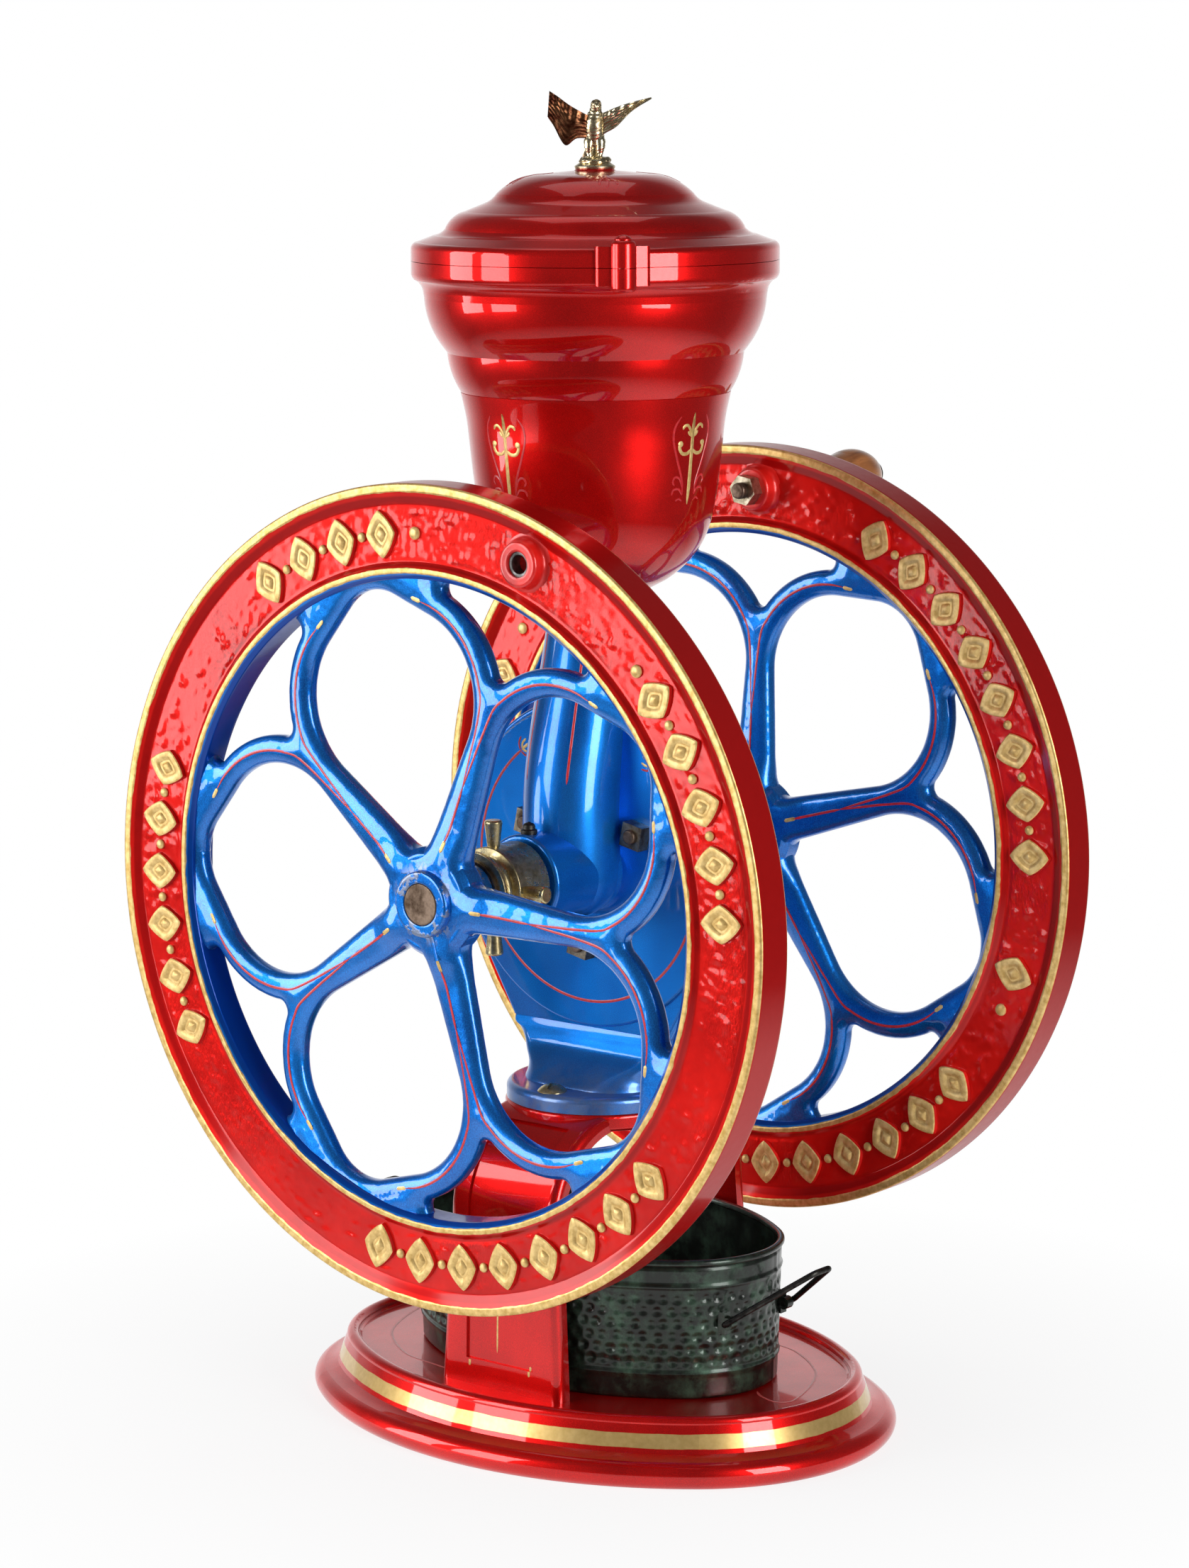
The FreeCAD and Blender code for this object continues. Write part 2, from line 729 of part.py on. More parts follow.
def burr_bolts():
    """Bolts through the front of the case, their round heads sunk in the fixed burr."""
    face = case_front_x + case_wall + fixed_burr_thick
    tail = case_front_x - burr_nut_height - 2.5
    bolts = []
    for y, z in burr_bolt_places():
        shank = rod_x(burr_bolt_radius, tail, face - 5.0, y, z)
        head = rod_x(burr_bolt_radius + 3.0, face - 6.0, face - 2.0, y, z)
        tip = [e for e in shank.Edges if abs(e.BoundBox.XMax - tail) < 0.01]
        shank = shank.makeFillet(1.2, tip).Solids[0]
        bolts.append(fused([shank, head]))
    return Part.makeCompound(bolts)


def burr_nuts():
    nuts = []
    for y, z in burr_bolt_places():
        turn = 45.0 + burr_nut_turn
        nuts.append(square_x(burr_nut_flats, case_front_x - burr_nut_height, case_front_x,
                             y, z, 4, turn, burr_bolt_radius))
    return Part.makeCompound(nuts)


def runner_burr():
    x0 = case_front_x + case_wall + fixed_burr_thick + burr_gap
    back = x0 + runner_burr_thick
    disc = turned_on_axle([
        (x0, 0, 0), (x0, burr_radius, 1.0), (back, burr_radius, 1.0), (back, runner_hub_radius, 1.0),
        (back + 3.0, runner_hub_radius, 1.0), (back + 3.0, 0, 0)])
    cuts = grooves(x0, runner_hub_radius + 6, burr_radius + 4, -18.0)
    cuts.append(rod_x(axle_radius, x0 - 1, back + 4))
    return disc.cut(cuts[0].fuse(cuts[1:])).cut(drive_pin_rods()[1])


def drive_pin_rods():
    """Taper pins that lock the feed worm and the runner burr to the axle."""
    worm_pin_x = -46.0
    burr_pin_x = case_front_x + case_wall + fixed_burr_thick + burr_gap + 5.5
    pins = []
    for x, half in ((worm_pin_x, worm_root_radius), (burr_pin_x, runner_hub_radius - 1.0)):
        pins.append(rod_z(pin_radius if half > 15 else 2.0, axle_height - half, axle_height + half, x))
    return pins


def feed_worm():
    """A sleeve with one raised thread that carries beans along the barrel to the burrs."""
    x0 = front_bush_x + 3.0
    x1 = case_front_x + case_wall + fixed_burr_thick + burr_gap - 0.3
    sleeve = rod_x(worm_root_radius, x0, x1)
    turns = (x1 - x0 - 12.0) / worm_pitch
    helix = Part.makeHelix(worm_pitch, worm_pitch * turns, worm_root_radius)
    profile = Part.makePolygon([
        point(worm_root_radius - 0.6, 0, -2.4), point(worm_tip_radius, 0, -1.2),
        point(worm_tip_radius, 0, 1.2), point(worm_root_radius - 0.6, 0, 2.4),
        point(worm_root_radius - 0.6, 0, -2.4)])
    thread = Part.Wire(helix).makePipeShell([profile], True, True)
    thread.rotate(point(0, 0, 0), point(0, 1, 0), 90)
    thread.translate(point(x0 + 6.0, 0, axle_height))
    worm = fused([sleeve, thread])
    return worm.cut(rod_x(axle_radius, x0 - 1, x1 + 1)).cut(drive_pin_rods()[0])


# Adjusting nut

def adjusting_nut():
    """Brass nut on the barrel's thread, with a grooved nose and four knobs to turn it by."""
    bore = spigot_radius + nut_thread_fit
    hole = axle_radius + 0.4
    web = nut_front_x + nut_web
    nut = turned_on_axle([
        (nut_front_x, hole, 0), (nut_front_x, nut_band_radius - 0.4, 0.6),
        (nut_front_x + 2.3, nut_band_radius - 0.4, 0.5),
        (nut_front_x + 4.2, nut_groove_radius, 2.2), (nut_front_x + 10.0, nut_groove_radius, 2.6),
        (nut_front_x + 11.8, nut_band_radius, 0.8), (nut_back_x, nut_band_radius, 1.2),
        (nut_back_x, bore, 0), (web, bore, 0), (web, hole, 0)])
    knobs = [nut]
    for k in range(knob_count):
        knob = Part.makeCone(knob_base_radius, knob_tip_radius, knob_length,
                             point(knob_x, 0, axle_height + nut_band_radius - 0.5))
        top = [e for e in knob.Edges if abs(e.Length - 2 * math.pi * knob_tip_radius) < 0.05]
        knob = knob.makeFillet(1.4, top).Solids[0]
        knobs.append(around_axle(knob, 360.0 * k / knob_count))
    return fused(knobs)


def thrust_washer():
    x1 = nut_front_x - running_fit
    x0 = x1 - thrust_washer_thick
    return rod_x(hub_boss_radius + 1.0, x0, x1).cut(rod_x(axle_radius + 0.1, x0 - 1, x1 + 1))


# Crank

def crank_parts():
    """Grip, bolt, washer and nut on the crank boss of the rear wheel."""
    y, z = polar(crank_circle, wheel_lean["rear"])
    inner = rear_wheel_x - rim_width / 2.0 - crank_boss_height
    outer = rear_wheel_x + rim_width / 2.0
    washer = rod_x(bolt_radius + 4.5, outer, outer + washer_thickness, y, z)
    washer = washer.cut(rod_x(bolt_radius, outer - 1, outer + 3, y, z))
    nut = square_x(crank_nut_flats, inner - crank_nut_height, inner, y, z, 6, 10.0, bolt_radius)
    start = outer + washer_thickness + grip_gap
    end = start + grip_length
    head_x = end + grip_gap
    bolt = rod_x(bolt_radius, inner - crank_nut_height - 4.5, head_x + 1, y, z)
    tip = [e for e in bolt.Edges if abs(e.BoundBox.XMax - bolt.BoundBox.XMin) < 0.01]
    bolt = bolt.makeFillet(1.2, tip).Solids[0]
    head = rod_x(bolt_radius + 3.0, head_x, head_x + 3.0, y, z)
    head_rim = [e for e in head.Edges if abs(e.BoundBox.XMin - head_x - 3.0) < 0.01]
    head = head.makeFillet(2.0, head_rim).Solids[0]
    bolt = fused([bolt, head])
    place = lambda v: point(v.x, y, z + v.y)
    third = grip_length / 3.0
    wire = path_wire((start, bolt_radius + running_fit), [
        (start, grip_neck_radius), ((start + third, grip_waist_radius),
                                    (start + 2.0 * third, grip_belly_radius - 0.4)),
        ((end - 0.4 * third, grip_belly_radius - 0.2), (end, grip_neck_radius - 0.8)),
        (end, bolt_radius + running_fit)], place)
    grip = Part.Face(wire).revolve(point(0, y, z), point(1, 0, 0), 360)
    return bolt, nut, washer, grip


# Pedestal

def base_tray():
    """Oval cast foot: rolled flange, sloping side, raised rim and a sunk floor with ribs below."""
    arcs = oval_arcs(base_half_x, base_half_y, base_end_radius)
    steps = [
        ((0.0, 6.0), (5.5, 13.6)), ((9.0, 14.2), (13.0, 15.6)), (18.3, base_rim_top - 4.0),
        ((20.0, base_rim_top - 0.6), (22.0, base_rim_top)),
        ((24.2, base_rim_top - 0.8), (25.6, base_floor + 1.0)), (26.6, base_floor),
        (36.0, base_floor), (36.0, base_floor - base_floor_thick),
        (27.0, base_floor - base_floor_thick), (20.0, 12.0), (14.0, 7.0), (14.0, 0.0),
    ]
    ring = oval_ring(arcs, (3.4, 0.0), steps)
    floor = oval_plate(arcs, 35.0, base_floor - base_floor_thick, base_floor)
    ribs = [ring, floor]
    for half_x, half_y in ((base_rib / 2.0, base_half_y - 20), (base_half_x - 20, base_rib / 2.0)):
        rib = Part.makeBox(2 * half_x, 2 * half_y, base_floor - 1.0, point(-half_x, -half_y, 0))
        ribs.append(rib.common(oval_plate(arcs, 15.0, 0, base_floor)))
    limit = oval_ring(arcs, (0.0, -1.0), [
        (0.0, 16.0), (13.0, 15.6), (18.3, base_rim_top - 4.0), (18.3, 40.0), (-20.0, 40.0),
        (-20.0, -1.0)])
    ribs[2] = ribs[2].cut(limit)
    ribs[3] = ribs[3].cut(limit)
    return fused(ribs)


def arch_outline(offset):
    """The arch seen from the front, drawn in by an offset, with flared feet."""
    top = arch_height - offset
    x = arch_half_x - offset
    low = x + arch_leg_spread
    bend = arch_shoulder - offset
    floor = base_floor - 1.0
    wire = corner_wire([
        (-low, floor, 0), (-x, top - bend, 60.0), (-x, top, bend * 0.98),
        (x, top, bend * 0.98), (x, top - bend, 60.0), (low, floor, 0)],
        lambda v: point(v.x, 0, v.y))
    return Part.Face(wire)


def arch():
    """Two flat legs that bend over at the shoulders into a crown with a round pad."""
    wide = 2 * (arch_half_y_bottom + 20.0)
    outer = arch_outline(0.0).extrude(point(0, wide, 0))
    inner = arch_outline(arch_wall).extrude(point(0, wide, 0))
    bottom = arch_half_y_bottom
    top = arch_half_y_top
    bend = arch_height - arch_shoulder
    reach = arch_half_x + arch_leg_spread + 10.0
    side = Part.Face(Part.makePolygon([
        point(-reach, -bottom, base_floor - 1), point(-reach, bottom, base_floor - 1),
        point(-reach, top, bend), point(-reach, top, arch_height + 1),
        point(-reach, -top, arch_height + 1), point(-reach, -top, bend),
        point(-reach, -bottom, base_floor - 1)])).extrude(point(2 * reach, 0, 0))
    outer.translate(point(0, -wide / 2.0, 0))
    inner.translate(point(0, -wide / 2.0, 0))
    legs = outer.common(side)
    long = []
    for edge in legs.Edges:
        box = edge.BoundBox
        if box.ZMax > base_floor and min(abs(box.YMin), abs(box.YMax)) > top - 0.5:
            if box.YMin * box.YMax > 0 and not on_side_crease(box, bend):
                long.append(edge)
    legs = legs.makeFillet(arch_edge_round, long)
    return legs.cut(inner)


def on_side_crease(box, bend):
    """True for the straight crease across a side, which stays sharp."""
    return box.XLength > arch_half_x and abs(box.ZMin - bend) < 0.5 and box.ZLength < 0.5


def arch_panel():
    """The sunk panel on the outer face of each leg, left between two raised beads."""
    deep = arch_outline(panel_depth)
    wide = 2 * (arch_half_y_top - panel_bead)
    skin = arch_outline(-2.0).cut(deep).extrude(point(0, wide, 0))
    skin.translate(point(0, -wide / 2.0, 0))
    keep = Part.makeBox(arch_half_x, wide + 2, arch_height - base_floor - 20,
                        point(arch_pad_radius - 6.0, -wide / 2.0 - 1, base_floor + 14))
    mirrored = keep.mirror(point(0, 0, 0), point(1, 0, 0))
    return [skin.common(keep), skin.common(mirrored)]


def pedestal_arch():
    """The arch with its pad, standing on the base's floor."""
    pad = rod_z(arch_pad_radius, arch_height - arch_wall, arch_height)
    edge = [e for e in pad.Edges if abs(e.Length - 2 * math.pi * arch_pad_radius) < 0.1]
    pad = pad.makeFillet(2.0, edge).Solids[0]
    body = fused([arch(), pad])
    cuts = arch_panel()
    wide = 2 * base_half_y
    cuts.append(Part.makeBox(wide, wide, base_floor, point(-wide / 2.0, -wide / 2.0, 0)))
    cuts.append(rod_z(chute_radius, arch_height - arch_wall - 1, arch_height + 1))
    for x in (-foot_screw_circle, foot_screw_circle):
        cuts.append(rod_z(foot_screw_radius, arch_height - arch_wall - 1, arch_height + 1, x))
    return body.cut(cuts[0].fuse(cuts[1:]))


# Hopper and lid

def knuckle(z0, z1, dome_top, dome_bottom):
    """Half of the lid's swivel: a round knuckle with a wing each side of it."""
    body = rod_z(knuckle_radius, z0, z1, lid_pin_circle)
    ends = [e for e in body.Edges if abs(e.Length - 2 * math.pi * knuckle_radius) < 0.1
            and ((dome_top and e.BoundBox.ZMin > z1 - 0.1)
                 or (dome_bottom and e.BoundBox.ZMin < z0 + 0.1))]
    body = body.makeFillet(2.4, ends).Solids[0]
    corners = [(hopper_rim_radius - 8.0, -knuckle_half_width, 0),
               (hopper_rim_radius + 2.0, -knuckle_half_width, 2.5),
               (hopper_rim_radius + 4.5, 0, 0), (hopper_rim_radius + 2.0, knuckle_half_width, 2.5),
               (hopper_rim_radius - 8.0, knuckle_half_width, 0)]
    wing = Part.Face(corner_wire(corners, lambda v: point(v.x, v.y, z0 if dome_top else z0 + 3.0)))
    wing = wing.extrude(point(0, 0, z1 - z0 - 3.0))
    return around_z(fused([body, wing]), lid_pin_angle)


def pin_hole(fit):
    rod = rod_z(lid_pin_radius + fit, knuckle_bottom - 2, knuckle_top + 4, lid_pin_circle)
    return around_z(rod, lid_pin_angle)


def hopper():
    """Turned and waisted hopper with a spigot in the column and half a swivel on its rim."""
    rim = hopper_rim_radius
    top = hopper_top
    outlet = hopper_spigot_radius - 3.0
    w = hopper_wall
    steps = [(hopper_spigot_radius, hopper_seat - hopper_spigot),
             (hopper_spigot_radius, hopper_seat)]
    steps += raised([
        (25.9, 0.0), (25.9, 2.5), ((48.6, 17.4), (60.3, 37.0)), (66.5, 81.0),
        ((68.0, 97.0), (71.2, 107.0)), ((76.3, 117.5), (78.4, 128.0)), (80.4, 130.6),
        ((87.0, 142.0), (90.3, 157.0)), (90.9, 160.6), ((92.6, 164.2), (95.6, 166.4)),
        ((rim - 0.4, 167.9), (rim, 170.0)), (rim, 176.0), (rim - 8.0, 176.0), (90.3 - w, 160.0),
        ((87.0 - w, 144.5), (79.6 - w, 132.5)), (78.4 - w, 129.0),
        ((76.3 - w, 119.0), (71.2 - w, 108.5)), ((68.0 - w, 98.0), (66.5 - w, 81.0)),
        (60.3 - w, 39.0), ((46.6, 22.2), (outlet, 8.0)),
    ], hopper_seat, hopper_height / 176.0)
    wire = path_wire((outlet, hopper_seat - hopper_spigot), steps, on_radius_z)
    body = fused([turned(wire), knuckle(knuckle_bottom, top, False, True)])
    bowl = raised([(50.0, 39.0), (60.0, 81.0), (84.0, 151.0), (rim - 8.0, 176.0),
                   (rim - 8.0, 178.0), (0.0, 178.0)], hopper_seat, hopper_height / 176.0)
    inside = turned(path_wire((0.0, bowl[0][1] - 18.0), bowl, on_radius_z))
    return body.cut(inside.fuse(pin_hole(0.0)))


def hopper_screw():
    z = column_top - hopper_spigot / 2.0
    tip = hopper_spigot_radius
    body = rod_x(hopper_screw_radius, tip, column_top_radius + 3.0, 0, z)
    slot = Part.makeBox(2, 1.0, 10, point(column_top_radius + 2.0, -0.5, z - 5))
    return body.cut(slot)


def lid():
    """Stepped dome with a flat rim that swivels on the hopper's rim."""
    rim = hopper_rim_radius
    low = hopper_top + lid_gap
    hole = finial_stud_radius + 0.1
    nut_seat = finial_base_z - finial_seat_thick
    steps = raised([
        (rim, 6.0), ((rim - 0.9, 8.6), (rim - 3.6, 10.0)), (85.0, 13.2),
        ((81.4, 14.4), (79.0, 16.4)), ((75.6, 21.6), (68.4, 25.6)), (58.4, 29.6),
        ((54.4, 31.8), (51.8, 34.6)), ((44.6, 40.2), (28.0, 44.8)), (finial_base_radius, 46.4),
    ], hopper_top, 1.0)
    steps += [(finial_base_radius - 1.0, finial_base_z), (hole, finial_base_z), (hole, nut_seat),
              (finial_nut_flats, nut_seat)]
    steps += raised([
        (24.0, 41.0), ((41.0, 36.4), (48.4, 31.0)), (54.6, 26.4), (66.0, 21.8),
        ((72.6, 18.0), (76.4, 12.4)), (84.0, 9.4), (rim - 8.0, 6.4)], hopper_top, 1.0)
    steps.append((rim - 8.0, low))
    body = fused([turned(path_wire((rim, low), steps, on_radius_z)),
                  knuckle(low, knuckle_top, True, False)])
    hollow = raised([(rim - 8.0, -0.7), (rim - 8.0, 6.0), (70.0, 11.0), (50.0, 25.0),
                     (0.0, 30.0)], hopper_top, 1.0)
    inside = turned(path_wire((0.0, hollow[0][1]), hollow, on_radius_z))
    return body.cut(inside.fuse(pin_hole(running_fit)))


def lid_pin():
    rod = rod_z(lid_pin_radius, knuckle_bottom + 0.5, knuckle_top + 0.2, lid_pin_circle)
    head = Part.makeSphere(6.0, point(lid_pin_circle, 0, knuckle_top - 3.2))
    head = head.common(rod_z(4.6, knuckle_top + 0.1, knuckle_top + 4, lid_pin_circle))
    return around_z(fused([rod, head]), lid_pin_angle)


# Finial

def finial():
    """A small spread eagle on a round base, as plain solids, with a stud below."""
    z = finial_base_z
    base = turned(path_wire((0.0, z), [
        (finial_base_radius - 2.0, z), ((finial_base_radius - 1.0, z + 1.6), (7.6, z + 3.2)),
        (4.4, z + 5.4), (4.0, z + 7.0), ((5.6, z + 10.0), (4.4, z + 13.0)), (0.0, z + 14.0)],
        on_radius_z))
    stud = rod_z(finial_stud_radius, z - 9.0, z + 1)
    h = finial_height
    body = Part.makeSphere(1.0, point(0, 0, 0))
    grow = FreeCAD.Matrix()
    grow.scale(5.4, 5.0, 0.27 * h)
    body = body.transformGeometry(grow)
    body.rotate(point(0, 0, 0), point(0, 1, 0), 12)
    body.translate(point(0, 0, z + 0.516 * h))
    head = Part.makeSphere(0.088 * h, point(0.06 * h, 0, z + 0.79 * h))
    beak = Part.makeCone(1.8, 0.4, 4.6, point(0.12 * h, 0, z + 0.78 * h), point(1, 0, -0.25))
    parts = [base, stud, body, head, beak]
    for side, spread in ((-1, finial_wing_left), (1, finial_wing_right)):
        outline = [(-3.0, 0.05), (2.5, 0.10), (spread * 0.55, 0.41), (spread, 0.484),
                   (spread * 0.92, 0.15), (spread * 0.55, -0.17), (0.0, -0.27)]
        corners = [point(-1.3, side * a, z + (0.516 + b) * h) for a, b in outline]
        wing = Part.Face(Part.makePolygon(corners + corners[:1])).extrude(point(2.6, 0, 0))
        wing.rotate(point(0, 0, z), point(0, 0, 1), -side * 14.0)
        parts.append(wing)
    eagle = fused(parts)
    return around_z(eagle, finial_turn)


def finial_nut():
    nut = square_x(finial_nut_flats, 0, 4.5, 0, 0, 6, 0.0, finial_stud_radius)
    nut.rotate(point(0, 0, 0), point(0, 1, 0), 90)
    nut.translate(point(0, 0, finial_base_z - finial_seat_thick))
    return nut


# Catch tin

def tin_arcs():
    return oval_arcs(tin_half_x, tin_half_y, tin_end_radius)


def tin_inset(z):
    return tin_taper * (tin_top - z) / (tin_top - tin_bottom) + 1.0


def catch_tin():
    """Oval sheet tin, a little wider at the rolled rim, with a bead above and below its band."""
    w = tin_wall
    steps = []
    for z in (tin_bottom + 14.0, tin_top - 15.0):
        d = tin_inset(z)
        steps.append((tin_inset(z - 1.6), z - 1.6))
        steps.append(((d - tin_bead, z), (tin_inset(z + 1.6), z + 1.6)))
    rim = tin_inset(tin_top - 3.4)
    steps.append((rim, tin_top - 3.4))
    steps.append(((rim - 1.4, tin_top - 1.6), (rim + 0.6, tin_top)))
    steps.append(((rim + 2.2, tin_top - 1.2), (rim + w, tin_top - 3.4)))
    steps.append((tin_inset(tin_bottom + w) + w, tin_bottom + w))
    steps.append((20.0, tin_bottom + w))
    steps.append((20.0, tin_bottom))
    arcs = tin_arcs()
    ring = oval_ring(arcs, (tin_inset(tin_bottom), tin_bottom), steps)
    floor = oval_plate(arcs, 19.0, tin_bottom, tin_bottom + w)
    tin = fused([ring, floor])
    tin.translate(point(0, tin_shift_y, 0))
    return tin


def ear_place(side):
    """Middle of a bail ear: just outside the tin's end wall at the ear's height."""
    cx, cy, radius, begin, sweep = tin_arcs()[1]
    r = radius - tin_inset(ear_z)
    y = cy + math.sqrt(r ** 2 - ear_half_span ** 2)
    return side * (y + ear_stand_off) + tin_shift_y


def tin_ears():
    ears = []
    for side in (-1, 1):
        y = ear_place(side)
        for x in (-ear_half_span, ear_half_span):
            x0 = x - ear_width / 2.0
            tube = rod_x(ear_radius, x0, x0 + ear_width, y, ear_z)
            back = Part.makeBox(ear_width, 8.0, 2 * ear_radius + 5.0,
                                point(x0, y - side * ear_radius * 0.4 - (8.0 if side > 0 else 0),
                                      ear_z - ear_radius - 2.5))
            ear = tube.fuse(back).cut(rod_x(bail_wire + 0.08, x0 - 1, x0 + ear_width + 1, y, ear_z))
            ears.append(ear)
    arcs = tin_arcs()
    solid = oval_ring(arcs, (tin_inset(tin_bottom), tin_bottom), [
        (tin_inset(tin_top), tin_top), (22.0, tin_top), (22.0, tin_bottom)])
    solid.translate(point(0, tin_shift_y, 0))
    return Part.makeCompound([ear.cut(solid).removeSplitter() for ear in ears])


def bail(side):
    """Bent wire bail: two pins in the ears, two legs and a round nose."""
    y = ear_place(side)
    inner = ear_half_span - ear_width / 2.0 - 1.0
    outer = ear_half_span + ear_width / 2.0 + 4.4
    corners = [(-inner, 0.0), (-outer, 0.0), (-bail_nose, bail_length), (bail_nose, bail_length),
               (outer, 0.0), (inner, 0.0)]
    radii = [0, 2.2, 5.5, 5.5, 2.2, 0]
    edges = []
    here = Vector(corners[0][0], corners[0][1], 0)
    for i in range(1, 5):
        corner = Vector(corners[i][0], corners[i][1], 0)
        back = Vector(corners[i - 1][0], corners[i - 1][1], 0) - corner
        ahead = Vector(corners[i + 1][0], corners[i + 1][1], 0) - corner
        back.normalize()
        ahead.normalize()
        half = back.getAngle(ahead) / 2.0
        reach = radii[i] / math.tan(half)
        middle = back + ahead
        middle.normalize()
        centre = corner + middle * (radii[i] / math.sin(half))
        edges.append(Part.makeLine(here, corner + back * reach))
        edges.append(Part.Arc(corner + back * reach, centre - middle * radii[i],
                              corner + ahead * reach).toShape())
        here = corner + ahead * reach
    edges.append(Part.makeLine(here, Vector(corners[5][0], corners[5][1], 0)))
    path = Part.Wire(edges)
    ring = Part.Wire([Part.Circle(Vector(-inner, 0, 0), Vector(1, 0, 0), bail_wire).toShape()])
    wire = path.makePipeShell([ring], True, False)
    if side < 0:
        wire.rotate(Vector(0, 0, 0), Vector(0, 0, 1), 180)
    wire.rotate(Vector(0, 0, 0), Vector(1, 0, 0), side * bail_lift)
    wire.translate(point(0, y, ear_z))
    return wire


os.makedirs("parts", exist_ok=True)
save(base_tray(), "pedestal")
save(pedestal_arch(), "pedestal_arch")
mill_case, mill_foot, feed_column = mill_castings()
save(mill_case, "mill_body")
save(mill_foot, "mill_foot")
save(feed_column, "feed_column")
save(rear_cover(), "rear_cover")
save(cover_screws(), "cover_screws")
save(foot_screws(), "foot_screws")
save(fixed_burr(), "fixed_burr")
save(burr_bolts(), "burr_bolts")
save(burr_nuts(), "burr_nuts")
save(bush(spigot_end_x, front_bush_x), "front_bush")
save(bush(case_back_x + 3.0, cover_boss_end_x), "rear_bush")
save(hopper(), "hopper")
save(hopper_screw(), "hopper_screw")
save(lid_pin(), "lid_pin")
save(thrust_washer(), "thrust_washer")
save(adjusting_nut(), "adjusting_nut")
save(axle(), "axle")
save(feed_worm(), "feed_worm")
save(runner_burr(), "runner_burr")
save(Part.makeCompound(drive_pin_rods()), "drive_pins")
screws = []
for side, middle, inward in (("front", front_wheel_x, 1), ("rear", rear_wheel_x, -1)):
    save(wheel_rim(middle, wheel_lean[side]), side + "_wheel_rim")
    save(wheel_spokes(middle, inward, wheel_lean[side]), side + "_wheel_spokes")
    screws.append(set_screw(middle, inward, wheel_lean[side]))
save(Part.makeCompound(screws), "wheel_set_screws")
crank_bolt, crank_nut, crank_washer, crank_grip = crank_parts()
save(crank_bolt, "crank_bolt")
save(crank_nut, "crank_nut")
save(crank_washer, "crank_washer")
save(crank_grip, "crank_grip")
save(lid(), "lid")
save(finial(), "eagle_finial")
save(finial_nut(), "finial_nut")
save(catch_tin(), "catch_tin")
save(tin_ears(), "bail_ears")
save(bail(-1), "near_bail")
save(bail(1), "far_bail")
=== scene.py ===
import json
import math

import bpy
import numpy as np
from bpy.props import FloatProperty, FloatVectorProperty, PointerProperty
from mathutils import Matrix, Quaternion, Vector
from mathutils.bvhtree import BVHTree
from mathutils.geometry import delaunay_2d_cdt

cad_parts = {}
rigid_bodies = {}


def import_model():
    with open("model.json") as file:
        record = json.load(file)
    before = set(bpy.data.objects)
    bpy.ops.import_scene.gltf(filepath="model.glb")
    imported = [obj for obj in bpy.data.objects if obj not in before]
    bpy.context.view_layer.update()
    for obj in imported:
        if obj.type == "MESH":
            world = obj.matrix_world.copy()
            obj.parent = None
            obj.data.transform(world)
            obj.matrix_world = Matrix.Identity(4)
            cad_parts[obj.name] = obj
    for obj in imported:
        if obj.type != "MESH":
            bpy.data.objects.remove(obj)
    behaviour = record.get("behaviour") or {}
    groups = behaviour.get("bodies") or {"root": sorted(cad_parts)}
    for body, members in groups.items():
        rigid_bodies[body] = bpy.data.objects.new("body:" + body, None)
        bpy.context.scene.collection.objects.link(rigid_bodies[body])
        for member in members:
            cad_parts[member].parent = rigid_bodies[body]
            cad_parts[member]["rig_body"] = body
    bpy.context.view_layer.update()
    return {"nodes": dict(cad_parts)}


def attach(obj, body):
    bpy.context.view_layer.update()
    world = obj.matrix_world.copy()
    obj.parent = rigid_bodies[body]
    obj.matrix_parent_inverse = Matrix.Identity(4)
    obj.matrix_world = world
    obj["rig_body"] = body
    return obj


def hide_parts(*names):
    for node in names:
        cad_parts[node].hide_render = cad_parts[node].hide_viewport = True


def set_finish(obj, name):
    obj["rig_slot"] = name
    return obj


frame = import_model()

bl_info = {
    "name": "Counter coffee mill",
    "version": (1, 0, 0),
    "blender": (4, 5, 0),
    "location": "View3D > Sidebar > Coffee mill",
    "description": "Fine shapes and painted finish of a hand cranked counter coffee mill",
    "category": "Object",
}

# Lengths are millimetres until a mesh is made, and metres in it.
MM = 0.001
NODES = frame["nodes"]

# Sizes that repeat the part's own named values
AXLE_Z = 302.0
WHEEL_X = {"front": -132.1, "rear": 140.1}
WHEEL_LEAN = {"front": 69.3, "rear": 87.4}
RIM_HALF = 10.7
RIM_DEEP = 7.7
RIM_INNER_R = 167.0
CRANK_CIRCLE = 192.5
HOPPER_TOP = 625.0
HOPPER_SEAT = 449.0
CASE_FACE_X = -10.0


# Where the paint changes: each pair is where a change begins and ends
BAND_LOW, BAND_HIGH = (17.8, 18.1), (24.9, 25.2)
FOOT_BLOOM = (184.0, 197.0)
HUB_WEAR = (17.0, 23.0)
LIP_EDGE = (9.6, 9.9)
OUTER_GOLD = (211.2, 211.4)
INNER_GOLD_LOW, INNER_GOLD_HIGH = (169.8, 170.0), (172.7, 172.9)
INNER_GOLD_EDGE = (8.8, 9.2)
# Painted shade: where the rims' red is darkened on the slopes down into their sunk fields
OUTER_SLOPE_SHADE, INNER_SLOPE_SHADE, SLOPE_SHADE_EDGE = (203.5, 207.5), (173.5, 176.5), (9.2, 9.8)
SAND_LOW, SAND_HIGH = (177.0, 179.0), (202.0, 204.5)


# Numbers on grids

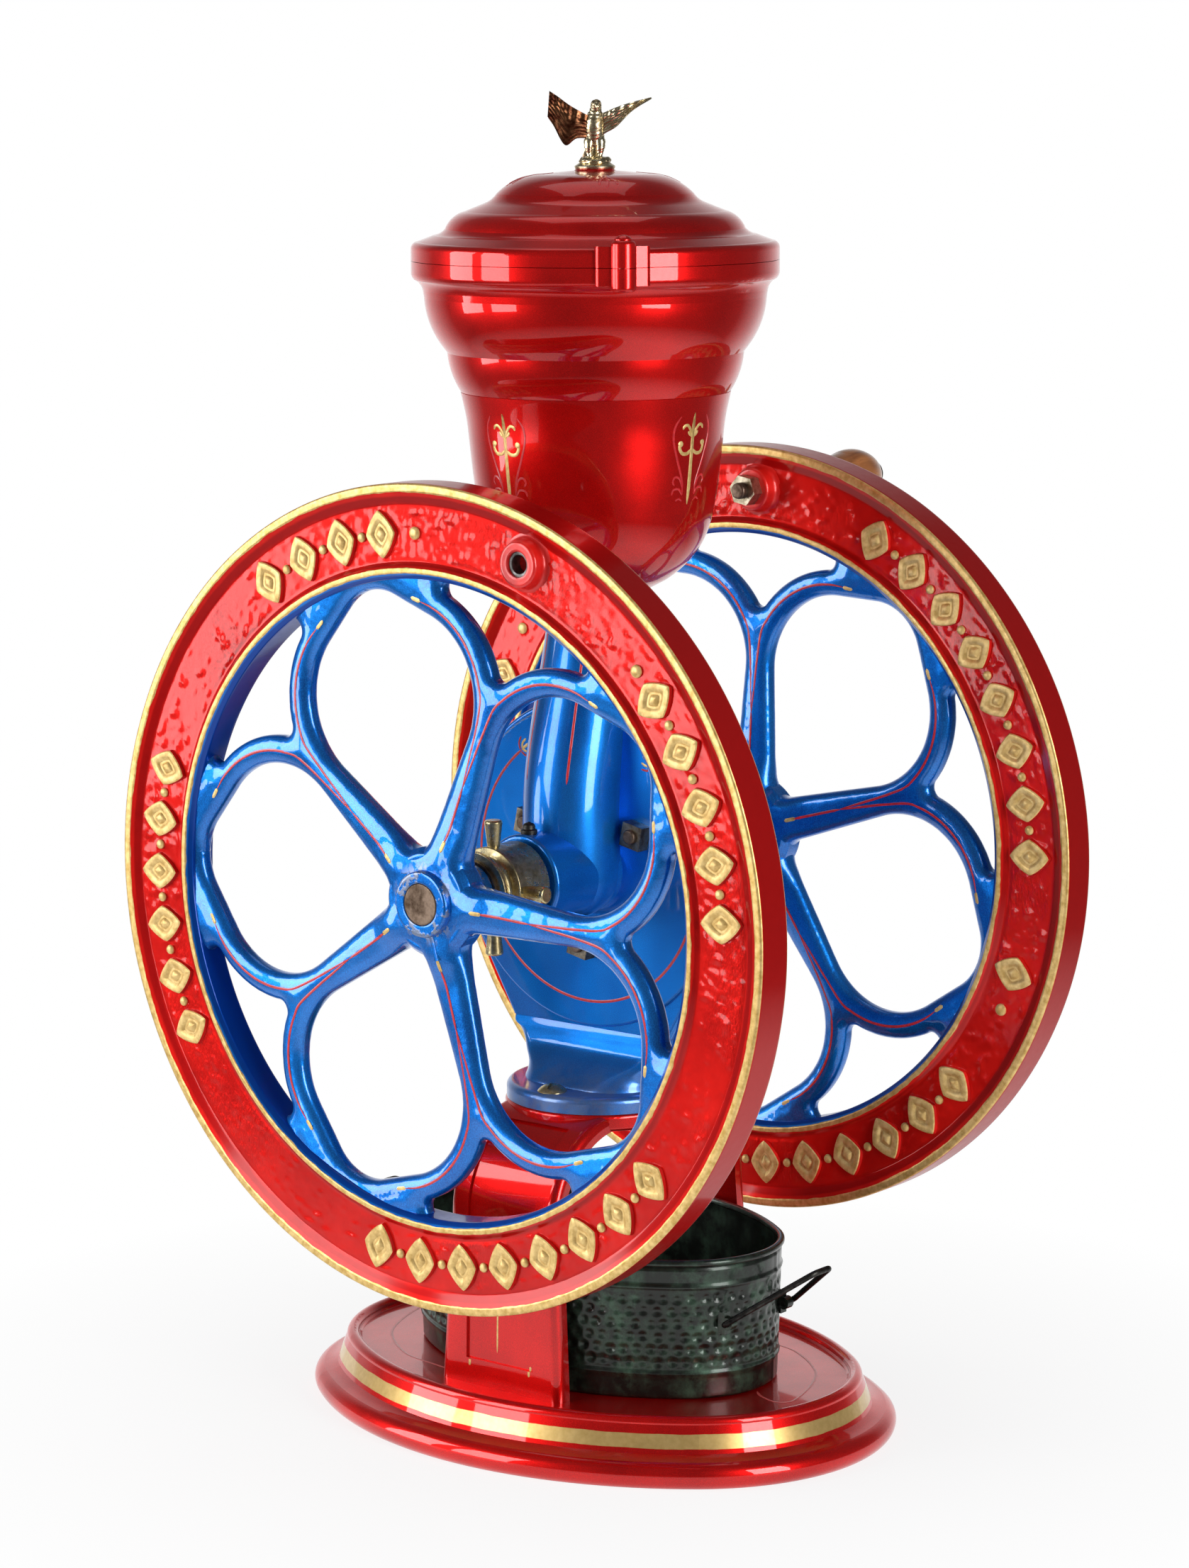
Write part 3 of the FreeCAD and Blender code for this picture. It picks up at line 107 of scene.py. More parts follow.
def noise(points, size, seed):
    """Smooth noise from -1 to 1: a random number at each corner of a lattice of cells of the given
    size, eased between the eight corners around a point."""
    cell = np.asarray(points, float) / size
    low = np.floor(cell).astype(np.int64)
    part = cell - low
    part = part * part * (3 - 2 * part)
    total = 0.0
    for corner in np.ndindex(2, 2, 2):
        at = low + np.array(corner)
        mixed = at[..., 0] * 73856093 ^ at[..., 1] * 19349663 ^ at[..., 2] * 83492791 ^ seed * 9973
        mixed = (mixed ^ (mixed >> 13)) * 1274126177 & 0xFFFFFFFF
        mixed ^= mixed >> 16
        value = (mixed & 0xFFFF) / 32767.5 - 1.0
        share = np.prod(np.where(np.array(corner) == 1, part, 1 - part), axis=-1)
        total = total + value * share
    return total


def rounded(corners, step, closed=True):
    """Points along an outline of (a, b, radius) corners: a tangent arc at each corner, straight
    runs between them, and no gap longer than the step."""
    spots = np.array([c[:2] for c in corners], float)
    count = len(corners)
    pieces = []
    for i, (_, _, radius) in enumerate(corners):
        here = spots[i]
        if radius <= 0 or (not closed and i in (0, count - 1)):
            pieces.append(here[None])
            continue
        back = spots[i - 1] - here
        ahead = spots[(i + 1) % count] - here
        back /= np.linalg.norm(back)
        ahead /= np.linalg.norm(ahead)
        half = math.acos(np.clip(back @ ahead, -1, 1)) / 2
        middle = (back + ahead) / np.linalg.norm(back + ahead)
        centre = here + middle * radius / math.sin(half)
        sweep = math.pi - 2 * half
        turn = np.linspace(-sweep / 2, sweep / 2, max(3, int(radius * sweep / step) + 2))
        side = np.array([-middle[1], middle[0]])
        if side @ ahead < 0:
            side = -side
        bow = np.outer(np.sin(turn), side) - np.outer(np.cos(turn), middle)
        pieces.append(centre + radius * bow)
    chain = []
    for i, piece in enumerate(pieces):
        chain.append(piece)
        if i < count - 1 or closed:
            start, end = piece[-1], pieces[(i + 1) % count][0]
            gap = np.linalg.norm(end - start)
            inner = int(gap / step)
            if inner > 0:
                t = np.arange(1, inner + 1)[:, None] / (inner + 1)
                chain.append(start + (end - start) * t)
    return np.concatenate(chain)


def flowing(points, count):
    """A smooth curve through a few points: each span is a cubic whose end slopes follow the
    neighbouring points."""
    p = np.array(points, float)
    ends = np.concatenate([2 * p[:1] - p[1:2], p, 2 * p[-1:] - p[-2:-1]])
    t = np.linspace(0, len(p) - 1, count)
    i = np.minimum(t.astype(int), len(p) - 2)
    f = (t - i)[:, None]
    a, b, c, d = ends[i], ends[i + 1], ends[i + 2], ends[i + 3]
    return 0.5 * (2 * b + (c - a) * f + (2 * a - 5 * b + 4 * c - d) * f ** 2
                  + (3 * b - a - 3 * c + d) * f ** 3)


def loft(rings, loop=False):
    """Skin over rings of points, each closed on itself. The first and last ring are shut by a fan
    to their middle, or joined to each other when loop is set."""
    rings = np.asarray(rings, float)
    caps = []
    if not loop:
        for end in (0, -1):
            caps.append(rings[end].mean(axis=0))
        if np.ptp(rings[0], axis=0).max() < 1e-6:
            rings = rings[1:]
        if np.ptp(rings[-1], axis=0).max() < 1e-6:
            rings = rings[:-1]
    n, m = rings.shape[:2]
    i = np.arange(n if loop else n - 1)[:, None]
    j = np.arange(m)[None, :]
    after = (j + 1) % m
    below = (i + 1) % n
    quads = np.stack([i * m + j, i * m + after, below * m + after, below * m + j], -1)
    quads = quads.reshape(-1, 4)
    points = rings.reshape(-1, 3)
    if loop:
        return points, [quads]
    j = j.ravel()
    after = after.ravel()
    first = np.stack([np.full(m, n * m), after, j], -1)
    last = np.stack([np.full(m, n * m + 1), (n - 1) * m + j, (n - 1) * m + after], -1)
    return np.concatenate([points, np.array(caps)]), [quads, np.concatenate([first, last])]


def turned_z(profile, segments, centre=(0.0, 0.0)):
    """Rings of a profile of (radius, height) points turned about a vertical line."""
    turn = np.linspace(0, 2 * np.pi, segments, endpoint=False)
    radius, height = np.asarray(profile, float).T
    x = centre[0] + np.outer(radius, np.cos(turn))
    y = centre[1] + np.outer(radius, np.sin(turn))
    return np.stack([x, y, np.repeat(height[:, None], segments, 1)], -1)


def turned_x(profile, segments, centre=(0.0, AXLE_Z)):
    """Rings of a profile of (x, radius) points turned about a line along X."""
    turn = np.linspace(0, 2 * np.pi, segments, endpoint=False)
    x, radius = np.asarray(profile, float).T
    y = centre[0] + np.outer(radius, np.cos(turn))
    z = centre[1] + np.outer(radius, np.sin(turn))
    return np.stack([np.repeat(x[:, None], segments, 1), y, z], -1)


def brush(path, up, half_width, lift=0.14, sink=0.3, loop=False):
    """A painted line: a low lens of five points carried along a path that lies on a surface. At
    each point it is as wide as the width says, stands proud by the lift and dips by the sink."""
    path = np.asarray(path, float)
    up = np.broadcast_to(np.asarray(up, float), path.shape)
    if loop:
        along = np.roll(path, -1, 0) - np.roll(path, 1, 0)
    else:
        along = np.gradient(path, axis=0)
    side = np.cross(along, up)
    side /= np.linalg.norm(side, axis=1)[:, None] + 1e-12
    width = np.broadcast_to(np.asarray(half_width, float), (len(path),))[:, None, None]
    across = np.array([-1.0, -0.6, 0.6, 1.0, 0.0])[None, :, None]
    rise = np.array([0.0, lift, lift, 0.0, -sink])[None, :, None]
    rings = path[:, None] + side[:, None] * across * width + up[:, None] * rise
    return loft(rings, loop)


def tapered(count, half_width, start=0.15, end=0.15):
    """Half widths of a brush stroke that swells from one end and narrows to the other."""
    t = np.linspace(0, 1, count)
    swell = np.minimum(1, np.minimum(t / start, (1 - t) / end))
    return half_width * (0.12 + 0.88 * np.sqrt(np.clip(swell, 0, 1)))


# Meshes

def outward(points, blocks):
    """Face blocks turned round together if the volume they enclose comes out negative."""
    volume = 0.0
    for block in blocks:
        for k in range(1, block.shape[1] - 1):
            a, b, c = points[block[:, 0]], points[block[:, k]], points[block[:, k + 1]]
            volume += np.einsum("ij,ij->i", a, np.cross(b, c)).sum()
    return [block[:, ::-1] for block in blocks] if volume < 0 else blocks


def piece(name, parts, material, body, slot, replaces=(), crease=35.0):
    """One object from closed (points, face blocks) parts in millimetres, smooth but for its
    creases, riding on a body. A part may carry the number of each face block's material as a
    third value."""
    points, loops, sizes, mats, base = [], [], [], [], 0
    for part in parts:
        spots = part[0] * MM
        for k, block in enumerate(outward(spots, part[1])):
            loops.append((block + base).ravel())
            sizes.append(np.full(len(block), block.shape[1]))
            mats.append(np.full(len(block), part[2][k] if len(part) > 2 else 0))
        points.append(spots)
        base += len(spots)
    points, loops, sizes = np.concatenate(points), np.concatenate(loops), np.concatenate(sizes)
    mesh = bpy.data.meshes.new(name)
    mesh.vertices.add(len(points))
    mesh.vertices.foreach_set("co", points.astype(np.float32).ravel())
    mesh.loops.add(len(loops))
    mesh.loops.foreach_set("vertex_index", loops.astype(np.int32))
    mesh.polygons.add(len(sizes))
    starts = np.concatenate([[0], np.cumsum(sizes)[:-1]])
    mesh.polygons.foreach_set("loop_start", starts.astype(np.int32))
    mesh.polygons.foreach_set("material_index", np.concatenate(mats).astype(np.int32))
    mesh.update(calc_edges=True)
    mesh.polygons.foreach_set("use_smooth", np.ones(len(sizes), bool))
    mesh.set_sharp_from_angle(angle=math.radians(crease))
    for one in (material if isinstance(material, (list, tuple)) else [material]):
        mesh.materials.append(one)
    made = bpy.data.objects.new(name, mesh)
    bpy.context.scene.collection.objects.link(made)
    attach(made, body)
    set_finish(made, slot)
    if replaces:
        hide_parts(*replaces)
    return made


def carved(made, cutter_parts):
    """Take the cutter's closed shapes out of a piece's mesh."""
    cutter = piece(made.name + "_cutter", cutter_parts, [], made["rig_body"], made["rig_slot"])
    cut = made.modifiers.new("cut", "BOOLEAN")
    cut.operation = "DIFFERENCE"
    cut.solver = "EXACT"
    cut.object = cutter
    bpy.context.view_layer.update()
    result = made.evaluated_get(bpy.context.evaluated_depsgraph_get())
    mesh = bpy.data.meshes.new_from_object(result)
    made.modifiers.clear()
    made.data = mesh
    bpy.data.objects.remove(cutter)


# Materials

class Finish:
    """A procedural finish with one Principled shader, patterned on Object coordinates."""

    def __init__(self, name, **sockets):
        self.material = bpy.data.materials.new(name)
        self.material.use_nodes = True
        self.tree = self.material.node_tree
        self.shader = self.tree.nodes["Principled BSDF"]
        self.place = self.add("ShaderNodeTexCoord").outputs["Object"]
        for socket, value in sockets.items():
            self.shader.inputs[socket.replace("_", " ")].default_value = value

    def add(self, kind, settings=None, **inputs):
        """A new node with its settings, and its inputs by name or as i0, i1 and so on."""
        node = self.tree.nodes.new(kind)
        for key, value in (settings or {}).items():
            setattr(node, key, value)
        for key, value in inputs.items():
            self.give(node.inputs[int(key[1:])] if key[0] == "i" and key[1:].isdigit()
                      else node.inputs[key.replace("_", " ")], value)
        return node

    def give(self, socket, value):
        """Link a socket to another node's, or set it to a plain value."""
        if isinstance(value, bpy.types.NodeSocket):
            self.tree.links.new(value, socket)
        else:
            socket.default_value = value

    def to(self, socket, value):
        """Give the shader's named socket a value."""
        self.give(self.shader.inputs[socket], value)

    def math(self, operation, a, b=0.0):
        """One number from two."""
        return self.add("ShaderNodeMath", {"operation": operation}, i0=a, i1=b).outputs[0]

    def vector(self, operation, a, b=(0, 0, 0)):
        """A number from two vectors for DOT_PRODUCT and LENGTH, and a vector otherwise."""
        node = self.add("ShaderNodeVectorMath", {"operation": operation}, i0=a, i1=b)
        return node.outputs["Value" if operation in ("DOT_PRODUCT", "LENGTH") else "Vector"]

    def from_axle(self):
        """How far along X a place is, and how far from the axle's line."""
        x, y, z = self.add("ShaderNodeSeparateXYZ", None, i0=self.place).outputs
        z = self.math("SUBTRACT", z, AXLE_Z * MM)
        squares = self.math("ADD", self.math("MULTIPLY", y, y), self.math("MULTIPLY", z, z))
        return x, self.math("SQRT", squares)

    def noise(self, scale, detail=3.0, roughness=0.55, stretch=None):
        """Noise of a scale in cells per metre, drawn out along the axes by the stretch."""
        where = self.place
        if stretch:
            where = self.add("ShaderNodeMapping", None, i0=where, Scale=stretch).outputs[0]
        return self.add("ShaderNodeTexNoise", None, Vector=where, Scale=scale, Detail=detail,
                        Roughness=roughness).outputs[0]

    def span(self, value, low, high, out_low=0.0, out_high=1.0):
        """The value stretched so that low becomes out_low and high out_high, and clamped."""
        return self.add("ShaderNodeMapRange", None, i0=value, i1=low, i2=high, i3=out_low,
                        i4=out_high).outputs[0]

    def rise(self, value, edges):
        """0 up to the first edge and 1 from the second, both in millimetres."""
        return self.span(value, edges[0] * MM, edges[1] * MM)

    def fall(self, value, edges):
        """1 up to the first edge and 0 from the second, both in millimetres."""
        return self.span(value, edges[0] * MM, edges[1] * MM, 1.0, 0.0)

    def mix(self, share, one, other):
        """The one colour where the share is 0, and the other where it is 1."""
        node = self.add("ShaderNodeMix", {"data_type": "RGBA"})
        self.give(node.inputs[0], share)
        self.give(node.inputs[6], one)
        self.give(node.inputs[7], other)
        return node.outputs[2]

    def bump(self, height, distance, strength=1.0, under=None):
        """Normals of a height over those of the bump under it."""
        node = self.add("ShaderNodeBump", None, Height=height, Distance=distance, Strength=strength)
        if under is not None:
            self.give(node.inputs["Normal"], under)
        return node.outputs[0]

    def cover(self, share, one, other):
        """Make the surface a blend of two shaders."""
        blend = self.add("ShaderNodeMixShader", None, i0=share, i1=one, i2=other)
        self.tree.links.new(blend.outputs[0], self.tree.nodes["Material Output"].inputs["Surface"])


def rgb(values):
    """A solid colour with its alpha."""
    return (values[0], values[1], values[2], 1.0)


def candy_enamel(name, deep, bright, flake=2600.0):
    """Translucent enamel over bright metal: fine flakes, slow tone changes, a hard clear coat."""
    f = Finish(name, Metallic=0.72, Roughness=0.34, Specular_IOR_Level=0.0, Coat_Weight=0.9,
               Coat_Roughness=0.04)
    flakes = f.noise(flake, 1.0)
    drift = f.noise(18.0, 2.0)
    share = f.math("ADD", f.span(flakes, 0.38, 0.68, 0.0, 0.4), f.span(drift, 0.3, 0.7, 0.2, 0.6))
    f.to("Base Color", f.mix(share, rgb(deep), rgb(bright)))
    f.to("Roughness", f.span(f.noise(60.0, 3.0), 0.3, 0.7, 0.3, 0.37))
    f.to("Normal", f.bump(flakes, 0.00002, 0.35, f.bump(f.noise(240.0, 2.0), 0.00006, 0.35)))
    return f


def worn(f, share, ground):
    """Let a finish wear through to its ground colour, with a duller skin, where share is high."""
    colour = f.shader.inputs["Base Color"].links[0].from_socket
    f.to("Base Color", f.mix(share, colour, rgb(ground)))
    f.to("Coat Weight", f.span(share, 0.0, 1.0, 1.0, 0.2))
    return f


def worn_foot(name, deep, bright):
    """Blue enamel with a grey bloom in patches, as on the foot's flange."""
    f = candy_enamel(name, deep, bright)
    height = f.add("ShaderNodeSeparateXYZ", None, i0=f.place).outputs[2]
    patch = f.math("MULTIPLY", f.span(f.noise(34.0, 5.0, 0.6), 0.4, 0.62, 0.0, 0.6),
                   f.fall(height, FOOT_BLOOM))
    return worn(f, patch, (0.22, 0.23, 0.25))


def worn_hub(name, deep, bright):
    """Blue enamel over coarse sand casting, worn to a pale ground round the axle."""
    f = candy_enamel(name, deep, bright, 1500.0)
    patch = f.math("MULTIPLY", f.span(f.noise(120.0, 4.0, 0.6), 0.53, 0.57),
                   f.fall(f.from_axle()[1], HUB_WEAR))
    worn(f, f.math("MULTIPLY", patch, 0.7), (0.30, 0.30, 0.28))
    f.to("Normal", f.bump(f.noise(330.0, 3.0), 0.00018, 0.7, f.bump(patch, 0.0002, 0.5)))
    return f


def banded_enamel(name, deep, bright, gold_deep, gold_bright):
    """The stand's red enamel with a gold band on the base's sloping side."""
    f = candy_enamel(name, deep, bright)
    colour = f.shader.inputs["Base Color"].links[0].from_socket
    split = f.add("ShaderNodeSeparateXYZ", None, i0=f.place)
    height = f.math("ADD", split.outputs[2], f.span(f.noise(70.0, 2.0), 0.2, 0.8, -0.0003, 0.0003))
    band = f.math("MULTIPLY", f.rise(height, BAND_LOW), f.fall(height, BAND_HIGH))
    facing = f.add("ShaderNodeNewGeometry").outputs["True Normal"]
    out = f.vector("DOT_PRODUCT", facing, f.vector("MULTIPLY", f.place, (1, 1, 0)))
    band = f.math("MULTIPLY", band, f.math("GREATER_THAN", out, 0.0))
    tone = f.noise(320.0, 3.0)
    f.to("Base Color", f.mix(band, colour, f.mix(tone, rgb(gold_deep), rgb(gold_bright))))
    return f


def cast_paint(name, deep, bright, grain):
    """Gloss paint on rough sand casting: pimples, pits and worn high spots."""
    f = Finish(name, Metallic=0.25, Roughness=0.36, Coat_Weight=0.6, Coat_Roughness=0.12)
    coarse = f.noise(260.0, 3.0)
    f.to("Base Color", f.mix(f.span(f.noise(45.0, 3.0), 0.3, 0.7), rgb(deep), rgb(bright)))
    f.to("Roughness", f.span(coarse, 0.3, 0.7, 0.3, 0.46))
    f.to("Normal", f.bump(coarse, grain, 0.6, f.bump(f.noise(900.0, 2.0), grain * 0.3, 0.5)))
    return f


def gold_paint(name, deep, bright):
    """Hand laid gold bronze paint: brushed unevenness and darker spots."""
    f = Finish(name, Metallic=0.45, Roughness=0.42)
    tone = f.noise(320.0, 3.0)
    f.to("Base Color", f.mix(f.span(tone, 0.32, 0.66), rgb(deep), rgb(bright)))
    f.to("Roughness", f.span(f.noise(150.0), 0.3, 0.7, 0.34, 0.5))
    f.to("Normal", f.bump(tone, 0.00008, 0.5))
    return f


def line_paint(name, deep, bright):
    """Thin lining paint with a little brush drag."""
    f = Finish(name, Roughness=0.38, Coat_Weight=0.5, Coat_Roughness=0.1)
    f.to("Base Color", f.mix(f.span(f.noise(500.0), 0.3, 0.7), rgb(deep), rgb(bright)))
    f.to("Normal", f.bump(f.noise(800.0), 0.00003, 0.4))
    return f


def bare_metal(name, dark, light, roughness=0.3, patina=0.35, scratch=(1, 1, 1), pits=0.0):
    """Worn bare metal: dark patina in patches, fine scratches and a little pitting."""
    f = Finish(name, Metallic=1.0, Roughness=roughness)
    patches = f.noise(140.0, 5.0, 0.62)
    lines = f.noise(700.0, 2.0, 0.5, stretch=scratch)
    share = f.span(patches, patina, patina + 0.28)
    tone = f.mix(share, rgb(dark), rgb(light))
    f.to("Base Color", f.mix(f.span(lines, 0.35, 0.75, 0.0, 0.25), tone, rgb(dark)))
    f.to("Roughness", f.math("ADD", f.span(patches, 0.3, 0.7, roughness + 0.14, roughness - 0.06),
                             f.span(lines, 0.4, 0.7, 0.0, 0.1)))
    f.to("Normal", f.bump(lines, 0.00003, 0.5, f.bump(patches, 0.0001 + pits, 0.4)))
    return f


def japanned_tin(name, dark, green):
    """Black japanning worn through to a mottled green bronze."""
    f = Finish(name, Metallic=0.6, Roughness=0.36, Coat_Weight=0.5, Coat_Roughness=0.15)
    mottle = f.noise(95.0, 6.0, 0.68)
    streaks = f.noise(60.0, 4.0, 0.6, stretch=(1.0, 1.0, 0.28))
    share = f.math("MULTIPLY", f.span(mottle, 0.42, 0.68), f.span(streaks, 0.34, 0.62))
    f.to("Base Color", f.mix(share, rgb(dark), rgb(green)))
    f.to("Roughness", f.span(mottle, 0.3, 0.7, 0.28, 0.5))
    f.to("Normal", f.bump(f.noise(420.0), 0.00008, 0.5))
    return f


def painted_rim(name, paint):
    """Rim paint that changes with the distance from the axle: gold on both lips, blue inside, and
    rough red between them and on the tread, with slightly unsteady edges. On the slopes down into
    the sunk fields the red is darkened as painted shade."""
    f = Finish(name, Metallic=0.4, Roughness=0.36, Specular_IOR_Level=0.0, Coat_Weight=0.6,
               Coat_Roughness=0.1)
    x, radius = f.from_axle()
    radius = f.math("ADD", radius, f.span(f.noise(90.0, 2.0), 0.2, 0.8, -0.0005, 0.0005))
    off = f.math("MINIMUM", *[f.math("ABSOLUTE", f.math("SUBTRACT", x, WHEEL_X[side] * MM))
                              for side in ("front", "rear")])
    outer = f.math("MULTIPLY", f.rise(radius, OUTER_GOLD), f.rise(off, LIP_EDGE))
    inner = f.math("MULTIPLY", f.rise(radius, INNER_GOLD_LOW), f.fall(radius, INNER_GOLD_HIGH))
    gilt = f.math("MAXIMUM", outer, f.math("MULTIPLY", inner, f.rise(off, INNER_GOLD_EDGE)))
    blue = f.fall(radius, INNER_GOLD_LOW)
    # Painted shade on the slopes from the lips down into the sunk fields, taken off the red's tone
    # below
    slope_shade = f.math("MAXIMUM", f.rise(radius, OUTER_SLOPE_SHADE), f.fall(radius, INNER_SLOPE_SHADE))
    slope_shade = f.math("MULTIPLY", slope_shade, f.fall(off, SLOPE_SHADE_EDGE))
    coarse = f.noise(240.0, 2.0)
    tone = f.span(f.noise(26.0, 4.0), 0.25, 0.75, 0.2, 0.8)
    tone = f.math("SUBTRACT", tone, f.math("MULTIPLY", slope_shade, 0.75))
    red = f.mix(tone, rgb(paint.cast_red_deep), rgb(paint.cast_red_bright))
    colour = f.mix(blue, red, f.mix(tone, rgb(paint.blue_deep), rgb(paint.blue_bright)))
    gold = f.mix(f.span(f.noise(320.0, 3.0), 0.32, 0.66), rgb(paint.gold_deep),
                 rgb(paint.gold_bright))
    f.to("Base Color", f.mix(gilt, colour, gold))
    f.to("Metallic", f.span(f.math("MAXIMUM", blue, gilt), 0.0, 1.0, 0.4, 0.6))
    f.to("Coat Weight", f.span(gilt, 0.0, 1.0, 0.55, 0.1))
    f.to("Roughness", f.span(coarse, 0.3, 0.7, 0.32, 0.42))
    field = f.math("MULTIPLY", f.rise(radius, SAND_LOW), f.fall(radius, SAND_HIGH))
    patch = f.math("MULTIPLY", f.span(f.noise(8.0, 2.0), 0.47, 0.60, 0.08, 1.0), field)
    worms = f.math("MULTIPLY", f.noise(640.0, 2.0, 0.5, stretch=(1.0, 1.0, 0.45)), patch)
    f.to("Normal", f.bump(worms, 0.0010, 1.0, f.bump(coarse, 0.00014, 0.4)))
    return f


def turned_wood(name, dark, light):
    """Varnished turned hardwood with the grain running along X."""
    f = Finish(name, Roughness=0.34, Coat_Weight=0.6, Coat_Roughness=0.14)
    grain = f.noise(120.0, 5.0, 0.6, stretch=(0.07, 1.0, 1.0))
    pores = f.noise(900.0, 2.0, 0.5, stretch=(0.05, 1.0, 1.0))
    tone = f.mix(f.span(grain, 0.32, 0.68), rgb(dark), rgb(light))
    f.to("Base Color", f.mix(f.span(pores, 0.55, 0.75, 0.0, 0.5), tone, rgb(dark)))
    f.to("Roughness", f.span(grain, 0.3, 0.7, 0.3, 0.45))
    f.to("Normal", f.bump(pores, 0.00005, 0.5))
    return f


def finishes(paint):
    """Every finish of the mill by its short name."""
    made = {
        "red": candy_enamel("red_enamel", paint.red_deep, paint.red_bright),
        "stand": banded_enamel("stand_enamel", paint.red_deep, paint.red_bright,
                               paint.gold_deep, paint.gold_bright),
        "blue": candy_enamel("blue_enamel", paint.blue_deep, paint.blue_bright),
        "cast_red": cast_paint("red_cast_paint", paint.cast_red_deep, paint.cast_red_bright,
                               0.00022),
        "foot": worn_foot("blue_foot_enamel", paint.blue_deep, paint.blue_bright),
        "cast_blue": worn_hub("blue_cast_enamel", paint.blue_deep, paint.blue_bright),
        "gold": gold_paint("gold_paint", paint.gold_deep, paint.gold_bright),
        "rim": painted_rim("rim_paint", paint),
        "line": line_paint("red_lining", (0.42, 0.006, 0.012), (0.62, 0.016, 0.02)),
        "pale_line": line_paint("pink_lining", (0.56, 0.06, 0.06), (0.72, 0.12, 0.11)),
        "tin": japanned_tin("japanned_tin", (0.010, 0.013, 0.010), (0.055, 0.115, 0.072)),
        "brass": bare_metal("worn_brass", (0.20, 0.14, 0.06), (0.74, 0.62, 0.34), 0.24, 0.28),
        "gilt": bare_metal("gilt_brass", (0.26, 0.17, 0.07), (0.86, 0.76, 0.52), 0.22, 0.3),
        # A darker red-brown copy of the gilt for the eagle's left wing: painted shade
        "wing": bare_metal("red_brown_gilt", (0.06, 0.016, 0.008), (0.34, 0.15, 0.07), 0.3, 0.42),
        "steel": bare_metal("brown_steel", (0.07, 0.045, 0.03), (0.22, 0.16, 0.12), 0.42, 0.34,
                            pits=0.0002),
        "nickel": bare_metal("old_nickel", (0.20, 0.17, 0.10), (0.68, 0.63, 0.48), 0.28),
        "dark_nickel": bare_metal("dark_nickel", (0.07, 0.05, 0.035), (0.34, 0.30, 0.22), 0.32),
        "iron": bare_metal("burr_iron", (0.06, 0.058, 0.055), (0.24, 0.235, 0.23), 0.45),
        "bronze": bare_metal("bronze_bush", (0.18, 0.09, 0.035), (0.52, 0.32, 0.14), 0.34),
        "wood": turned_wood("turned_wood", (0.16, 0.045, 0.012), (0.52, 0.20, 0.06)),
        "wire": bare_metal("black_wire", (0.012, 0.012, 0.012), (0.07, 0.068, 0.062), 0.4),
    }
    return {key: f.material for key, f in made.items()}


FINISH = {}
LOOKS = {
    "pedestal": "stand", "pedestal_arch": "red", "mill_body": "blue", "mill_foot": "foot",
    "feed_column": "blue", "rear_cover": "blue", "cover_screws": "steel", "foot_screws": "brass",
    "fixed_burr": "iron", "burr_bolts": "steel", "burr_nuts": "dark_nickel", "front_bush": "bronze",
    "rear_bush": "bronze", "hopper": "red", "hopper_screw": "steel", "lid_pin": "red",
    "thrust_washer": "steel", "adjusting_nut": "brass", "axle": "steel", "feed_worm": "iron",
    "runner_burr": "iron", "drive_pins": "steel", "wheel_set_screws": "cast_blue",
    "crank_bolt": "steel", "crank_nut": "nickel", "crank_washer": "steel", "crank_grip": "wood",
    "lid": "red", "finial_nut": "steel", "bail_ears": "tin", "near_bail": "wire",
    "far_bail": "wire",
}


def coat(node, *names):
    """Give a kept node's material slots these finishes."""
    mesh = NODES[node].data
    mesh.materials.clear()
    for one in names:
        mesh.materials.append(FINISH[one])
    mesh.polygons.foreach_set("use_smooth", np.ones(len(mesh.polygons), bool))


# Wheels

SPOKES = 5
WEB_HALF = 6.5
EDGE_HALF = 1.0
CROWN_REACH = 7.6
FAN_ARC_AT = (93.0, 52.0)
FAN_ARC_R = 59.0
FAN_ROUND = 5.6
FAN_OUTER_R = 169.0
PETAL_EDGE = 138.0
PETAL_STEM = 5.5
PETAL_BEND = 45.0
PETAL_START = (22.0, 11.0)
PETAL_END_ROUND = 30.0
FAN_MIDDLE, PETAL_MIDDLE = 145.0, 100.0
WEB_OUTER_R = 168.0
WEB_INNER_R = 13.0
WEB_STEP = 1.9
EDGE_ROWS = (0.12, 0.4, 0.9, 1.6, 2.6, 4.0, 5.6)
LATTICE_CLEAR = 6.6


def arc_points(centre, radius, start, end, step=0.8):
    """Points round part of a circle, no further apart than the step."""
    turn = np.linspace(start, end, max(3, int(abs(end - start) * radius / step) + 1))
    return np.array(centre) + radius * np.stack([np.cos(turn), np.sin(turn)], -1)


def fan_outline():
    """Window inside a spoke's fork: two arcs that are bowed inwards, closed by the rim, with a
    small fillet where they meet and at each tip."""
    cx, cy = FAN_ARC_AT
    reach = FAN_ARC_R + FAN_ROUND
    crotch_x = cx + math.sqrt(reach ** 2 - cy ** 2)
    crotch_turn = math.atan2(-cy, crotch_x - cx)
    inner = FAN_OUTER_R - FAN_ROUND
    far = math.hypot(cx, cy)
    along = (far ** 2 + inner ** 2 - reach ** 2) / (2 * far)
    off = math.sqrt(inner ** 2 - along ** 2)
    tip = np.array([cx, cy]) * along / far + np.array([cy, -cx]) * off / far
    tip_turn = math.atan2(tip[1] - cy, tip[0] - cx)
    rim_turn = math.atan2(tip[1], tip[0])
    upper = np.concatenate([
        arc_points((crotch_x, 0), FAN_ROUND, math.pi, crotch_turn + math.pi, 0.5),
        arc_points(FAN_ARC_AT, FAN_ARC_R, crotch_turn, tip_turn)[1:-1],
        arc_points(tip, FAN_ROUND, tip_turn + math.pi, rim_turn, 0.5),
        arc_points((0, 0), FAN_OUTER_R, rim_turn, 0.0)[1:],
    ])
    lower = upper[::-1][1:-1] * (1, -1)
    return np.concatenate([upper, lower])


